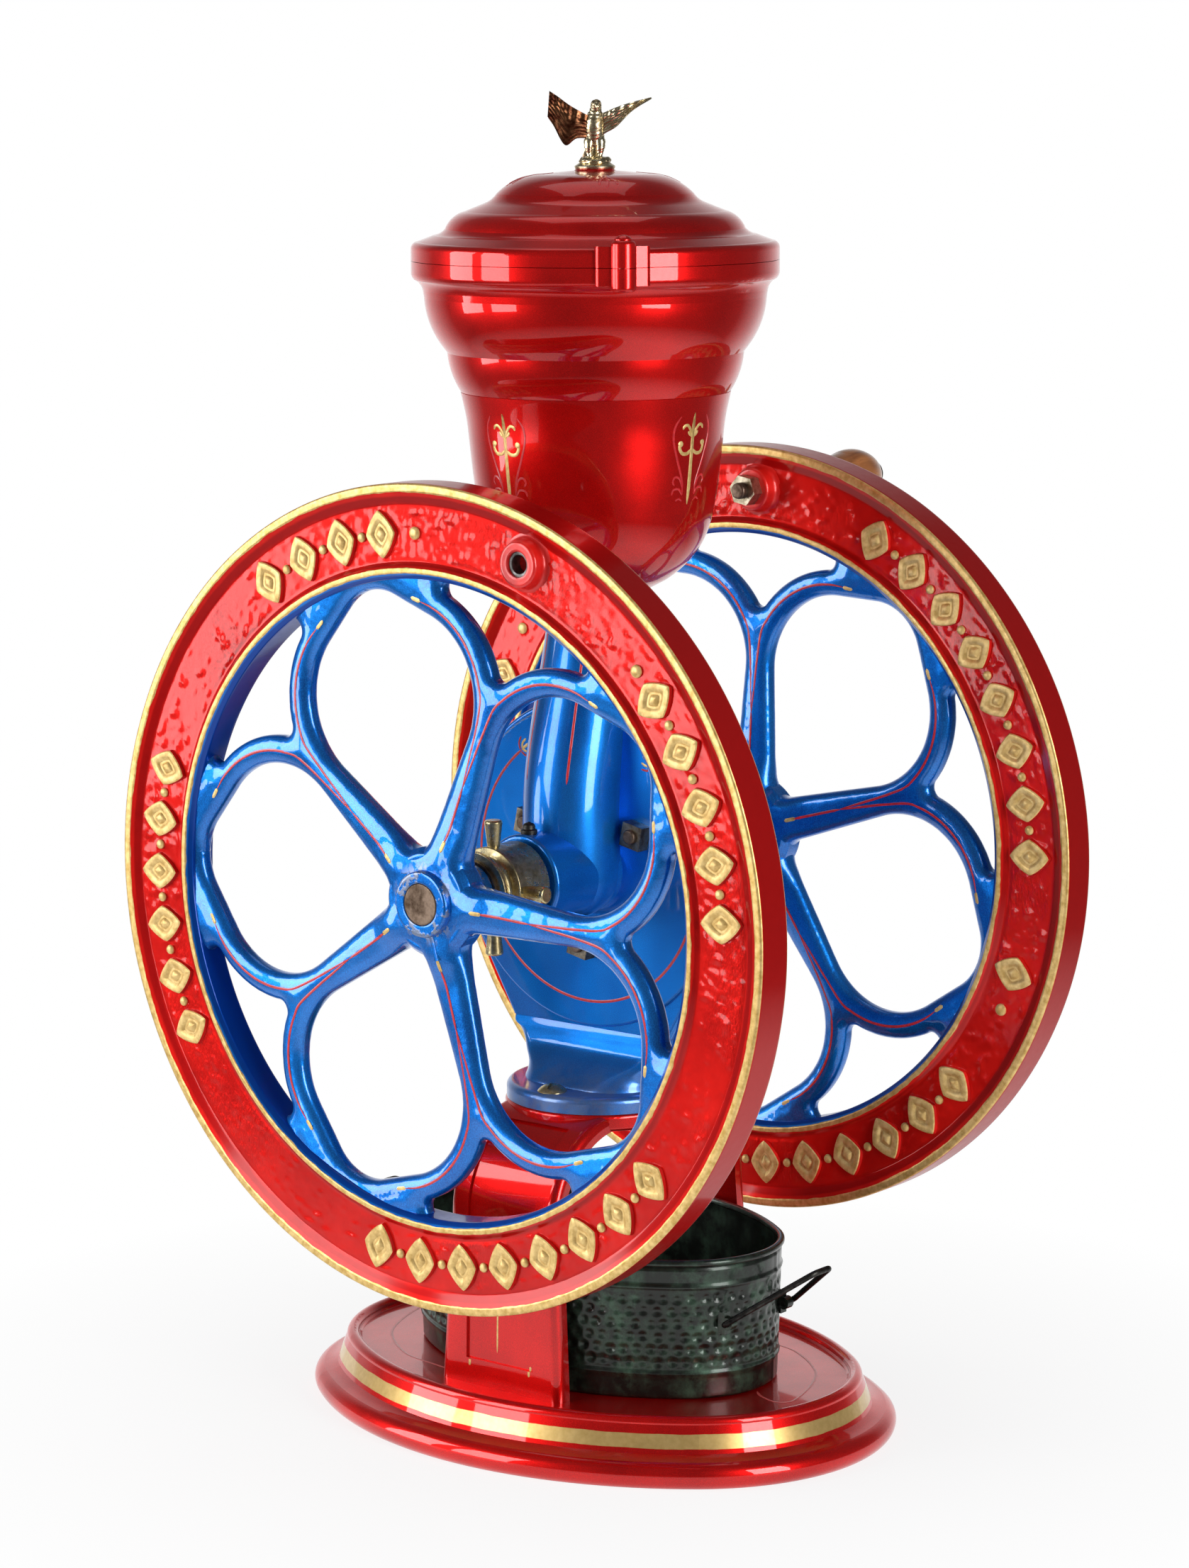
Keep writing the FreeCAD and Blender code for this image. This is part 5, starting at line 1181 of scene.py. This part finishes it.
def build_stand_lining():
    """Red hooks on the base's floor and gold marks on the legs."""
    floor = skin("pedestal")
    red = []
    for sign in (1, -1):
        flat = sign * flowing(FLOOR_LINE, 200)
        start = np.concatenate([flat, np.full((len(flat), 1), 60.0)], 1)
        path = onto(floor, start, (0.0, 0.0, -1.0))
        red.append(brush(path, (0.0, 0.0, 1.0), tapered(len(path), 0.8, 0.04, 0.04), 0.13, 0.4))
    piece("floor_lines", red, FINISH["pale_line"], "stand", "red_enamel")
    leg = skin("pedestal_arch")
    gold = []
    for sign in (-1, 1):
        for line, wide in (([(2.6, 48.7), (2.6, 68.0), (2.6, 100.0), (2.6, 118.0)], 0.55),
                           ([(20.6, 39.0), (20.6, 40.6), (20.6, 42.2)], 0.75),
                           ([(-20.4, 40.0), (-20.4, 42.5), (-20.4, 45.2)], 0.75)):
            flat = flowing(line, 12 * len(line))
            start = np.stack([0 * flat[:, 0] + sign * 150.0, -sign * flat[:, 0], flat[:, 1]], -1)
            path = onto(leg, start, (-sign, 0.0, 0.0))
            width = tapered(len(path), wide, 0.1, 0.1)
            gold.append(brush(path, (sign, 0.0, 0.0), width, 0.16, 0.4))
    piece("leg_marks", gold, FINISH["gold"], "stand", "gilt")


# Catch tin

TIN_ARCS = (74.0, 114.0, 53.0)
TIN_LOW, TIN_TOP, TIN_SHEET = 29.3, 106.0, 1.4
TIN_BEADS = (43.3, 91.0)


def oval_rings(insets, heights, step):
    """Rings on an oval of four tangent arcs, each drawn in by its inset, with the outward ways and
    the distance along the oval."""
    half_x, half_y, end_radius = TIN_ARCS
    offset = half_y - end_radius
    wide = (half_x ** 2 + offset ** 2 - end_radius ** 2) / (2 * (half_x - end_radius))
    turn = math.atan2(offset, wide - half_x)
    centres, radii, ways, along, total = [], [], [], [], 0.0
    flank, end = 2 * turn, math.pi - 2 * turn
    for cx, cy, radius, start, sweep in (
            (half_x - wide, 0.0, wide, -turn, flank), (0.0, offset, end_radius, turn, end),
            (wide - half_x, 0.0, wide, math.pi - turn, flank),
            (0.0, -offset, end_radius, math.pi + turn, end)):
        count = int(radius * sweep / step)
        share = np.arange(count) / count
        a = start + sweep * share
        centres.append(np.repeat([[cx, cy]], count, 0))
        radii.append(np.full(count, radius))
        ways.append(np.stack([np.cos(a), np.sin(a)], -1))
        along.append(total + radius * sweep * share)
        total += radius * sweep
    centres, radii, ways, along = map(np.concatenate, (centres, radii, ways, along))
    reach = radii[None, :] - np.asarray(insets, float)[:, None]
    flat = centres[None] + reach[..., None] * ways[None]
    levels = np.repeat(np.asarray(heights, float)[:, None, None], len(radii), 1)
    return np.concatenate([flat, levels], -1), ways, along, total


def tin_inset(z):
    """How far the tin's side is drawn in from the oval at a height: a straight taper."""
    return 2.6 * (TIN_TOP - z) / (TIN_TOP - TIN_LOW) + 1.0


def dents(along, heights, total, pitch, depth):
    """Depth of hammer dents: round hollows on a staggered lattice, each a little out of place."""
    columns = int(total / pitch)
    wide = total / columns
    sink = np.zeros((len(heights), len(along)))
    low, high = TIN_BEADS[0] + 3.0, TIN_BEADS[1] - 3.0
    rows = int((high - low) / (pitch * 0.87))
    rng = np.random.default_rng(7)
    for row in range(rows):
        middle = low + (row + 0.5) * (high - low) / rows
        near = np.abs(heights - middle) < pitch
        for column in range(columns):
            at = (column + 0.5 * (row % 2) + rng.uniform(-0.1, 0.1)) * wide
            level = middle + rng.uniform(-0.5, 0.5)
            gap = np.abs((along - at + total / 2) % total - total / 2)
            close = gap < pitch
            away = np.hypot(gap[None, close], (heights[near] - level)[:, None]) / (pitch * 0.40)
            hollow = np.clip(1 - away ** 2, 0, 1) ** 1.2 * depth * rng.uniform(0.65, 1.15)
            block = np.ix_(near, close)
            sink[block] = np.maximum(sink[block], hollow)
    return sink


def build_tin(detail):
    """Japanned sheet tin with a rolled rim, two beads, a hammered band and a soldered seam."""
    outer = [(TIN_LOW + 0.6, 0.35)]
    z = TIN_LOW + 1.6
    while z < TIN_TOP - 3.8:
        outer.append((z, 0.0))
        z += 0.95 if TIN_BEADS[0] - 2 < z < TIN_BEADS[1] + 3 else 1.7
    insets = [22.0, 6.0, tin_inset(TIN_LOW) + 1.2]
    heights = [TIN_LOW, TIN_LOW, TIN_LOW + 0.05]
    for z, extra in outer:
        bead = sum(0.9 * math.exp(-((z - b) / 1.15) ** 2) for b in TIN_BEADS)
        insets.append(tin_inset(z) + extra - bead)
        heights.append(z)
    rim = tin_inset(TIN_TOP - 3.4)
    for degrees in np.linspace(-150.0, 150.0, 15):
        a = math.radians(degrees)
        insets.append(rim + 0.5 - 2.0 * math.cos(a))
        heights.append(TIN_TOP - 2.05 + 2.0 * math.sin(a))
    wall = TIN_SHEET
    for z in np.linspace(TIN_TOP - 4.6, TIN_LOW + 3.5, 16):
        insets.append(tin_inset(z) + wall)
        heights.append(z)
    insets += [tin_inset(TIN_LOW) + wall + 0.5, tin_inset(TIN_LOW) + wall + 2.0, 22.0]
    heights += [TIN_LOW + wall + 0.8, TIN_LOW + wall, TIN_LOW + wall]
    rings, ways, along, total = oval_rings(insets, heights, 1.35)
    heights = np.array(heights)
    band = (np.arange(len(heights)) > 2) & (np.arange(len(heights)) < 3 + len(outer))
    sink = np.zeros(rings.shape[:2])
    sink[band] = dents(along, heights[band], total, detail.dent_pitch / MM, detail.dent_depth / MM)
    sink[band] += 0.10 * noise(rings[band], 9.0, 41) + 0.05 * noise(rings[band], 3.0, 42)
    seam = np.exp(-((rings[..., 0] - 15.0) / 1.7) ** 4) * (rings[..., 1] < -60.0)
    sink[band] -= 0.4 * seam[band]
    rings[..., :2] -= sink[..., None] * ways[None]
    rings[..., :2] += 0.25 * noise(rings * (1, 1, 0.3), 60.0, 43)[..., None] * ways[None]
    rings[..., 1] += 2.0
    piece("hammered_tin", [loft(rings)], FINISH["tin"], "tin", "black_green_tin", ["catch_tin"],
          crease=60.0)


# Eagle

EAGLE_Z = 672.3
EAGLE_TURN = 218.0


def eagle_place(points):
    """From forward, sideways and up of the eagle to the mill's own axes."""
    points = np.array(points, float)
    points[:, :2] = spun(points[:, :2], math.radians(EAGLE_TURN))
    return points + (0, 0, EAGLE_Z)


def limb(spine, widths, depths, count=28, lean=None):
    """Ellipses carried along a spine of (forward, sideways, up) points."""
    spine, widths, depths = (np.asarray(v, float) for v in (spine, widths, depths))
    along = np.gradient(spine, axis=0)
    along /= np.linalg.norm(along, axis=1)[:, None]
    side = np.cross(along, lean if lean is not None else (1.0, 0.0, 0.0))
    side /= np.linalg.norm(side, axis=1)[:, None]
    front = np.cross(side, along)
    turn = np.linspace(0, 2 * np.pi, count, endpoint=False)
    return (spine[:, None] + side[:, None] * (widths[:, None] * np.cos(turn))[..., None]
            + front[:, None] * (depths[:, None] * np.sin(turn))[..., None])


def feathered(rings, size, deep, seed):
    """Rings pushed in and out like small overlapping feathers: rows of scallops with noise."""
    flat = rings.reshape(-1, 3)
    middle = rings.mean(1, keepdims=True)
    out = rings - middle
    out /= np.linalg.norm(out, axis=-1, keepdims=True) + 1e-9
    turn = np.arctan2(rings[..., 1], rings[..., 0] + 3.0) * 4.6
    row = rings[..., 2] / size
    scale = ((row + 0.5 * np.cos(turn)) % 1.0) - 0.5
    scale += 0.5 * noise(flat, 1.4, seed).reshape(scale.shape)
    return rings + out * (deep * scale)[..., None]


def feathered_limb(spine, widths, depths, count, size, deep, seed):
    """A limb smoothed into more rings and covered in small feathers."""
    rings = limb(spine, widths, depths)
    rings = flowing(rings.reshape(len(rings), -1), count).reshape(count, -1, 3)
    return loft(feathered(rings, size, deep, seed))


def wing(edge, trail, bow, sign):
    """One wing from its leading and trailing edges, given as (sideways, up) points at equal
    shares of the span. It bows forward, thins towards its edges, and has quills that run out to
    the tip."""
    span = 56
    lead = flowing(edge, span)
    back = flowing(trail, span)
    chord = np.linspace(0.0, 1.0, 26)[None]
    share = np.linspace(0.0, 1.0, span)[:, None]
    flat = lead[:, None] + (back - lead)[:, None] * chord[..., None]
    quill = np.abs(np.sin(np.pi * (chord * 7.0 + 0.9 * share ** 2)))
    tip = 0.75 * (1 - quill) * (chord > 0.05) * (0.25 + share)
    flat[..., 1] += tip * chord ** 3
    thick = 1.35 * np.sqrt(np.clip(1 - (2 * chord - 0.75) ** 2 / 1.6, 0.02, 1))
    thick = thick * (1.15 - 0.65 * share)
    ridge = 0.45 * (quill - 0.5) * np.clip(chord * 6, 0, 1) * np.clip((1 - chord) * 8, 0, 1)
    covert = 0.35 * np.sin(share * 40.0) * np.clip(1 - 3.2 * np.abs(chord - 0.16), 0, 1)
    reach = bow * (3.4 * np.sin(np.pi * share ** 0.8) + 3.0 * share * chord)
    front = np.stack([reach + thick / 2 + ridge + covert, sign * flat[..., 0], flat[..., 1]], -1)
    rear = np.stack([reach - thick / 2 - 0.6 * ridge, sign * flat[..., 0], flat[..., 1]], -1)
    return np.concatenate([front, rear[:, ::-1]], 1)


def build_eagle():
    """Small gilt eagle with raised wings on a rock and a turned foot. The left wing takes a darker
    red-brown copy of the gilt as painted shade.
    """
    body = feathered_limb(
        [(-0.6, 0, 10.5), (-0.4, -0.2, 14.0), (0.2, -0.2, 18.0), (0.6, 0, 22.0), (0.6, 0.2, 26.0),
         (0.5, 0.4, 29.0), (0.8, 0.6, 31.2)],
        [3.4, 4.6, 5.2, 5.4, 4.9, 3.7, 2.9], [3.0, 4.0, 4.6, 5.0, 4.4, 3.5, 2.9],
        44, 1.9, 0.42, 51)
    head = feathered_limb(
        [(0.6, 0.6, 29.6), (0.9, 0.7, 31.4), (1.4, 0.8, 33.2), (2.0, 0.9, 34.6), (2.4, 0.9, 35.6)],
        [2.8, 2.9, 2.9, 2.4, 1.0], [2.8, 3.1, 3.3, 2.7, 1.1], 24, 1.2, 0.2, 52)
    parts = [body, head]
    beak = limb([(3.6, 0.9, 33.6), (5.0, 1.0, 33.7), (6.2, 1.1, 33.1), (6.9, 1.1, 32.0),
                 (6.9, 1.1, 31.2)],
                [1.3, 1.15, 0.85, 0.5, 0.12], [1.5, 1.3, 1.0, 0.5, 0.12], 16, (0.0, 1.0, 0.0))
    parts.append(loft(beak))
    for side in (-1, 1):
        eye = limb([(3.6, side * 1.9 + 0.8, 33.9), (4.0, side * 2.1 + 0.8, 34.0)],
                   [0.55, 0.3], [0.5, 0.25], 10, (0.0, 0.0, 1.0))
        parts.append(loft(eye))
        parts.append(feathered_limb(
            [(0.4, side * 2.2, 17.5), (1.2, side * 2.8, 14.0), (1.6, side * 2.9, 10.6),
             (1.8, side * 2.7, 7.6), (2.2, side * 2.7, 5.6)],
            [2.4, 2.9, 2.4, 1.5, 1.3], [2.4, 3.0, 2.4, 1.5, 1.3], 26, 1.5, 0.3, 53 + side))
        for spread in (-0.9, 0.0, 0.9):
            width = [0.9, 0.75, 0.6, 0.2]
            toe = limb([(1.8, side * 2.7, 5.6), (3.4, side * 2.7 + spread, 5.4),
                        (4.9, side * 2.7 + 1.7 * spread, 4.4),
                        (5.5, side * 2.7 + 2.0 * spread, 3.0)],
                       width, width, 12, (0.0, 1.0, 0.0))
            parts.append(loft(toe))
    left = wing([(-1.0, 25.6), (6.0, 29.0), (13.0, 33.0), (19.0, 37.4), (23.6, 40.4)],
                [(-0.5, 15.0), (9.0, 15.5), (15.5, 12.2), (21.5, 22.5), (24.6, 26.5)], 1.0, -1)
    right = wing([(-1.0, 26.5), (6.0, 29.6), (13.0, 32.4), (21.0, 34.8), (29.6, 36.9)],
                 [(-0.5, 14.0), (5.5, 18.0), (11.5, 21.6), (19.5, 29.6), (29.9, 36.0)], 0.8, 1)
    wings = [loft(right), loft(left)]
    tail = limb([(-2.4, -0.4, 15.0), (-3.8, -1.4, 11.0), (-4.6, -2.4, 7.0), (-5.0, -3.0, 4.6)],
                [2.4, 3.6, 4.2, 3.4], [1.2, 1.0, 0.8, 0.5])
    parts.append(loft(flowing(tail.reshape(4, -1), 16).reshape(16, -1, 3)))
    foot = rounded([(10.4, 0.0, 0.3), (10.8, 1.4, 0.6), (8.9, 2.6, 0.6), (8.0, 3.2, 0.5),
                    (8.6, 4.4, 0.6), (7.4, 5.8, 0.8), (5.4, 6.2, 0.5), (4.0, 6.4, 0.1)],
                   0.35, closed=False)
    rings = turned_z(foot, 72)
    rough = np.clip((foot[:, 1] - 2.8) / 1.2, 0, 1)[:, None]
    rings[..., :2] *= (1 + 0.13 * rough * noise(rings * (1, 1, 0.6), 2.9, 55))[..., None]
    rings[..., 2] += 0.9 * rough * noise(rings, 2.4, 56)
    parts.append(loft(rings))
    stud = [(0.0, -9.0), (2.5, -9.0), (2.5, 0.5), (0.0, 0.5)]
    parts.append(loft(turned_z(stud, 24)))
    # The left wing, last of all, takes the darker copy of the gilt as painted shade
    tones = [0] * (len(parts) + 1) + [1]
    parts = [(eagle_place(points), blocks, [tone] * len(blocks))
             for (points, blocks), tone in zip(parts + wings, tones)]
    piece("eagle", parts, [FINISH["gilt"], FINISH["wing"]], "lid", "gilt", ["eagle_finial"],
          crease=40.0)


# Stage, in metres

PAPER_WAY = (0.76, 0.59, -0.28)  # from the mill towards the paper behind it
ROOM_R, ROOM_SIDES = 3.2, 64
FLOOR_REACH, FLOOR_SIDES = 9.0, 96


def stage_mesh(name, points, faces, material):
    """A surface that stands round the mill and isn't part of it."""
    mesh = bpy.data.meshes.new(name)
    mesh.from_pydata(points.tolist(), [], [list(map(int, face)) for face in faces])
    mesh.update()
    mesh.materials.append(material)
    made = bpy.data.objects.new(name, mesh)
    bpy.context.scene.collection.objects.link(made)
    return made


def build_dark_room():
    """A dark dome and floor that only reflections meet, open near the mill and towards the white
    paper behind it."""
    f = Finish("dark_room", Roughness=0.9)
    behind = f.vector("DOT_PRODUCT", f.vector("NORMALIZE", f.place), PAPER_WAY)
    dim = f.add("ShaderNodeEmission", None, Strength=1.0,
                Color=f.mix(f.noise(0.8, 2.0), (0.05, 0.05, 0.05, 1), (0.12, 0.12, 0.12, 1)))
    near = f.span(f.vector("LENGTH", f.place), 0.5, 0.95, 1.0, 0.0)
    f.cover(f.math("MAXIMUM", f.span(behind, 0.42, 0.86), near), dim.outputs[0],
            f.add("ShaderNodeBsdfTransparent").outputs[0])
    climb = np.radians(np.linspace(0.2, 90.0, 24))[:-1]
    skirt = np.stack([np.array([0.5, 0.8, 1.2, 2.0]), np.full(4, 0.004)], -1)
    dome = ROOM_R * np.stack([np.cos(climb), np.sin(climb)], -1)
    points, (walls, ends) = loft(turned_z(np.concatenate([skirt, dome]), ROOM_SIDES))
    room = stage_mesh("dark_room", points, [*walls, *ends[ROOM_SIDES:]], f.material)
    room.visible_camera = room.visible_diffuse = False
    room.visible_shadow = room.visible_transmission = False


def build_floor():
    """A pale round floor that glows more and more like white paper away from the mill."""
    f = Finish("pale_floor", Roughness=0.8)
    f.to("Base Color", f.mix(f.noise(6.0), (0.93, 0.93, 0.93, 1), (0.95, 0.95, 0.95, 1)))
    glow = f.add("ShaderNodeEmission", None, Color=(1, 1, 1, 1), Strength=1.0)
    rays = f.add("ShaderNodeLightPath").outputs
    seen = f.math("MAXIMUM", rays["Is Camera Ray"],
                  f.math("MAXIMUM", rays["Is Glossy Ray"], rays["Is Transmission Ray"]))
    share = f.math("MULTIPLY", f.span(f.vector("LENGTH", f.place), 0.14, 0.46, 0.82, 1.0), seen)
    f.cover(share, f.shader.outputs[0], glow.outputs[0])
    rings = [(reach, 0.0) for reach in (0.5, 1.2, 2.5, FLOOR_REACH)]
    points, (bands, ends) = loft(turned_z(rings, FLOOR_SIDES))
    stage_mesh("floor", points[:-1], [*bands, *ends[:FLOOR_SIDES]], f.material)


def build_surround(light):
    """A world that lights the mill softly from above and reads as white paper where it is seen."""
    world = bpy.data.worlds.new("white_surround")
    bpy.context.scene.world = world
    world.use_nodes = True
    nodes, links = world.node_tree.nodes, world.node_tree.links
    white = nodes["Background"]
    white.inputs["Color"].default_value = (1, 1, 1, 1)
    white.inputs["Strength"].default_value = 1.0
    soft = nodes.new("ShaderNodeBackground")
    soft.inputs["Strength"].default_value = light.surround
    height = nodes.new("ShaderNodeSeparateXYZ")
    links.new(nodes.new("ShaderNodeTexCoord").outputs["Generated"], height.inputs[0])
    fall = nodes.new("ShaderNodeMapRange")
    for i, value in ((1, -0.1), (2, 0.75), (3, 1.0), (4, 0.32)):
        fall.inputs[i].default_value = value
    links.new(height.outputs["Z"], fall.inputs[0])
    links.new(fall.outputs[0], soft.inputs["Color"])
    path = nodes.new("ShaderNodeLightPath")
    seen = path.outputs["Is Camera Ray"]
    for ray in ("Is Glossy Ray", "Is Transmission Ray"):
        either = nodes.new("ShaderNodeMath")
        either.operation = "MAXIMUM"
        links.new(seen, either.inputs[0])
        links.new(path.outputs[ray], either.inputs[1])
        seen = either.outputs[0]
    pick = nodes.new("ShaderNodeMixShader")
    links.new(seen, pick.inputs[0])
    links.new(soft.outputs[0], pick.inputs[1])
    links.new(white.outputs[0], pick.inputs[2])
    links.new(pick.outputs[0], nodes["World Output"].inputs["Surface"])


def build_lamps(light):
    """Two tall soft lamps on the left, one on the right and a weak one overhead."""
    for name, place, aim, size, power in (
            ("key_lamp_near", (-1.88, 0.86, 0.68), (0, 0, 0.4), (0.72, 1.5), 0.5 * light.key),
            ("key_lamp_far", (-1.30, 1.62, 0.68), (0, 0, 0.4), (0.72, 1.5), 0.5 * light.key),
            ("fill_lamp", (-0.35, -1.86, 0.75), (0, 0, 0.45), (0.7, 1.3), light.fill),
            ("top_lamp", (0.5, 0.5, 2.4), (0, 0, 0.4), (1.2, 1.2), light.top)):
        lamp = bpy.data.lights.new(name, "AREA")
        lamp.shape = "RECTANGLE"
        lamp.size, lamp.size_y = size
        lamp.energy = power
        made = bpy.data.objects.new(name, lamp)
        made.location = place
        made.rotation_mode = "QUATERNION"
        made.rotation_quaternion = (Vector(aim) - Vector(place)).to_track_quat("-Z", "Y")
        bpy.context.scene.collection.objects.link(made)


def build_camera():
    """The photograph's camera, in metres: its place, aim, lens and slight roll."""
    lens = bpy.data.cameras.new("camera")
    lens.lens = 99.24
    lens.sensor_width = 36.0
    lens.clip_end = 50.0
    camera = bpy.data.objects.new("camera", lens)
    spot = Vector((-1.7825, -1.4340, 0.7299))
    camera.location = spot
    camera.rotation_mode = "QUATERNION"
    level = (Vector((0, 0.00224, 0.34502)) - spot).to_track_quat("-Z", "Y")
    camera.rotation_quaternion = level @ Quaternion((0, 0, 1), math.radians(-0.276))
    bpy.context.scene.collection.objects.link(camera)
    bpy.context.scene.camera = camera
    bpy.context.scene.view_settings.view_transform = "Standard"


# Add-on

class MillPaint(bpy.types.PropertyGroup):
    """Colours of the enamel, the rough cast paint and the gold."""

    red_deep: FloatVectorProperty(
        name="Red, deep", description="Red enamel where it is thickest", subtype="COLOR", size=3,
        default=(0.26, 0.002, 0.003), min=0.0, max=1.0)
    red_bright: FloatVectorProperty(
        name="Red, bright", description="Red enamel over the brightest flakes", subtype="COLOR",
        size=3, default=(0.84, 0.010, 0.008), min=0.0, max=1.0)
    blue_deep: FloatVectorProperty(
        name="Blue, deep", description="Blue enamel where it is thickest", subtype="COLOR", size=3,
        default=(0.002, 0.05, 0.31), min=0.0, max=1.0)
    blue_bright: FloatVectorProperty(
        name="Blue, bright", description="Blue enamel over the brightest flakes", subtype="COLOR",
        size=3, default=(0.012, 0.25, 0.80), min=0.0, max=1.0)
    cast_red_deep: FloatVectorProperty(
        name="Rim red, deep", description="Red of the rims' hollows", subtype="COLOR", size=3,
        default=(0.36, 0.004, 0.004), min=0.0, max=1.0)
    cast_red_bright: FloatVectorProperty(
        name="Rim red, bright", description="Red of the rims' high spots", subtype="COLOR", size=3,
        default=(0.80, 0.014, 0.009), min=0.0, max=1.0)
    gold_deep: FloatVectorProperty(
        name="Gold, deep", description="Gold paint where it is thin or worn", subtype="COLOR",
        size=3, default=(0.54, 0.34, 0.10), min=0.0, max=1.0)
    gold_bright: FloatVectorProperty(
        name="Gold, bright", description="Gold paint at its best", subtype="COLOR", size=3,
        default=(0.80, 0.58, 0.24), min=0.0, max=1.0)


class MillDetail(bpy.types.PropertyGroup):
    """Sizes of the painted lines, the rims' ornaments and the tin's hammer marks."""

    line_width: FloatProperty(
        name="Line width", description="Width of the red lines on the spokes", unit="LENGTH",
        default=0.0014, min=0.0004, max=0.004, precision=4)
    ornament_wide: FloatProperty(
        name="Ornament width", description="Width of a raised lozenge, along the rim",
        unit="LENGTH", default=0.0195, min=0.006, max=0.024, precision=4)
    ornament_tall: FloatProperty(
        name="Ornament height", description="Height of a raised lozenge, across the rim",
        unit="LENGTH", default=0.0245, min=0.008, max=0.026, precision=4)
    dent_pitch: FloatProperty(
        name="Dent spacing", description="Distance between hammer dents on the tin", unit="LENGTH",
        default=0.0074, min=0.004, max=0.02, precision=4)
    dent_depth: FloatProperty(
        name="Dent depth", description="Depth of a hammer dent", unit="LENGTH",
        default=0.0011, min=0.0, max=0.002, precision=4)


class MillLight(bpy.types.PropertyGroup):
    """Strength of the studio's soft lamps and of its surround."""

    key: FloatProperty(
        name="Key lamp", description="Power of the two large lamps on the left", unit="POWER",
        default=42.0, min=0.0, max=500.0)
    fill: FloatProperty(
        name="Fill lamp", description="Power of the lamp on the right", unit="POWER",
        default=27.0, min=0.0, max=500.0)
    top: FloatProperty(
        name="Top lamp", description="Power of the lamp overhead", unit="POWER",
        default=3.0, min=0.0, max=500.0)
    surround: FloatProperty(
        name="Surround", description="Strength of the pale surround", subtype="FACTOR",
        default=0.44, min=0.0, max=2.0)


class MILL_OT_finishes(bpy.types.Operator):
    """Make every finish and give the kept parts theirs"""

    bl_idname = "mill.finishes"
    bl_label = "Finishes"

    def execute(self, context):
        FINISH.update(finishes(context.scene.mill_paint))
        for node, look in LOOKS.items():
            coat(node, look)
        return {"FINISHED"}


class MILL_OT_wheels(bpy.types.Operator):
    """Build the rims, forked spokes and hubs of both flywheels"""

    bl_idname = "mill.wheels"
    bl_label = "Flywheels"

    def execute(self, context):
        web = web_flat()
        for side in WHEEL_X:
            build_spokes(side, web)
            build_rim(side)
        return {"FINISHED"}


class MILL_OT_ornaments(bpy.types.Operator):
    """Set the raised gilt ornaments on the rims"""

    bl_idname = "mill.ornaments"
    bl_label = "Rim ornaments"

    def execute(self, context):
        for side in WHEEL_X:
            build_rim_ornaments(side, context.scene.mill_detail)
        return {"FINISHED"}


class MILL_OT_hopper(bpy.types.Operator):
    """Build the hopper's smooth bowl"""

    bl_idname = "mill.hopper"
    bl_label = "Hopper bowl"

    def execute(self, context):
        build_hopper_bowl()
        return {"FINISHED"}


class MILL_OT_lining(bpy.types.Operator):
    """Paint the lines, ticks and fleurs of the wheels, hopper, lid, body and stand"""

    bl_idname = "mill.lining"
    bl_label = "Painted lines"

    def execute(self, context):
        for side in WHEEL_X:
            build_wheel_lining(side, context.scene.mill_detail)
        build_hopper_lining()
        build_body_lining()
        build_stand_lining()
        return {"FINISHED"}


class MILL_OT_tin(bpy.types.Operator):
    """Build the hammered catch tin"""

    bl_idname = "mill.tin"
    bl_label = "Catch tin"

    def execute(self, context):
        build_tin(context.scene.mill_detail)
        return {"FINISHED"}


class MILL_OT_eagle(bpy.types.Operator):
    """Build the gilt eagle on the lid"""

    bl_idname = "mill.eagle"
    bl_label = "Eagle"

    def execute(self, context):
        build_eagle()
        return {"FINISHED"}


class MILL_OT_stage(bpy.types.Operator):
    """Set the floor, surround, lamps and camera"""

    bl_idname = "mill.stage"
    bl_label = "Stage"

    def execute(self, context):
        light = context.scene.mill_light
        build_floor()
        build_surround(light)
        build_lamps(light)
        build_dark_room()
        build_camera()
        return {"FINISHED"}


class MILL_PT_panel(bpy.types.Panel):
    """The mill's pieces and settings in the sidebar"""

    bl_label = "Coffee mill"
    bl_idname = "MILL_PT_panel"
    bl_space_type = "VIEW_3D"
    bl_region_type = "UI"
    bl_category = "Coffee mill"

    def draw(self, context):
        scene = context.scene
        for settings in (scene.mill_paint, scene.mill_detail, scene.mill_light):
            box = self.layout.box()
            for name in settings.__annotations__:
                box.prop(settings, name)
        for step in STEPS:
            self.layout.operator(step.bl_idname)


STEPS = (MILL_OT_finishes, MILL_OT_wheels, MILL_OT_ornaments, MILL_OT_hopper, MILL_OT_lining,
         MILL_OT_tin, MILL_OT_eagle, MILL_OT_stage)
CLASSES = (MillPaint, MillDetail, MillLight) + STEPS + (MILL_PT_panel,)


def register():
    """Give Blender the mill's settings and steps."""
    for one in CLASSES:
        bpy.utils.register_class(one)
    bpy.types.Scene.mill_paint = PointerProperty(type=MillPaint)
    bpy.types.Scene.mill_detail = PointerProperty(type=MillDetail)
    bpy.types.Scene.mill_light = PointerProperty(type=MillLight)


def unregister():
    """Take them away again."""
    del bpy.types.Scene.mill_light
    del bpy.types.Scene.mill_detail
    del bpy.types.Scene.mill_paint
    for one in reversed(CLASSES):
        bpy.utils.unregister_class(one)


def main():
    """Dress the mill step by step."""
    register()
    bpy.ops.mill.finishes()
    bpy.ops.mill.wheels()
    bpy.ops.mill.ornaments()
    bpy.ops.mill.hopper()
    bpy.ops.mill.lining()
    bpy.ops.mill.tin()
    bpy.ops.mill.eagle()
    bpy.ops.mill.stage()


if __name__ == "__main__":
    main()
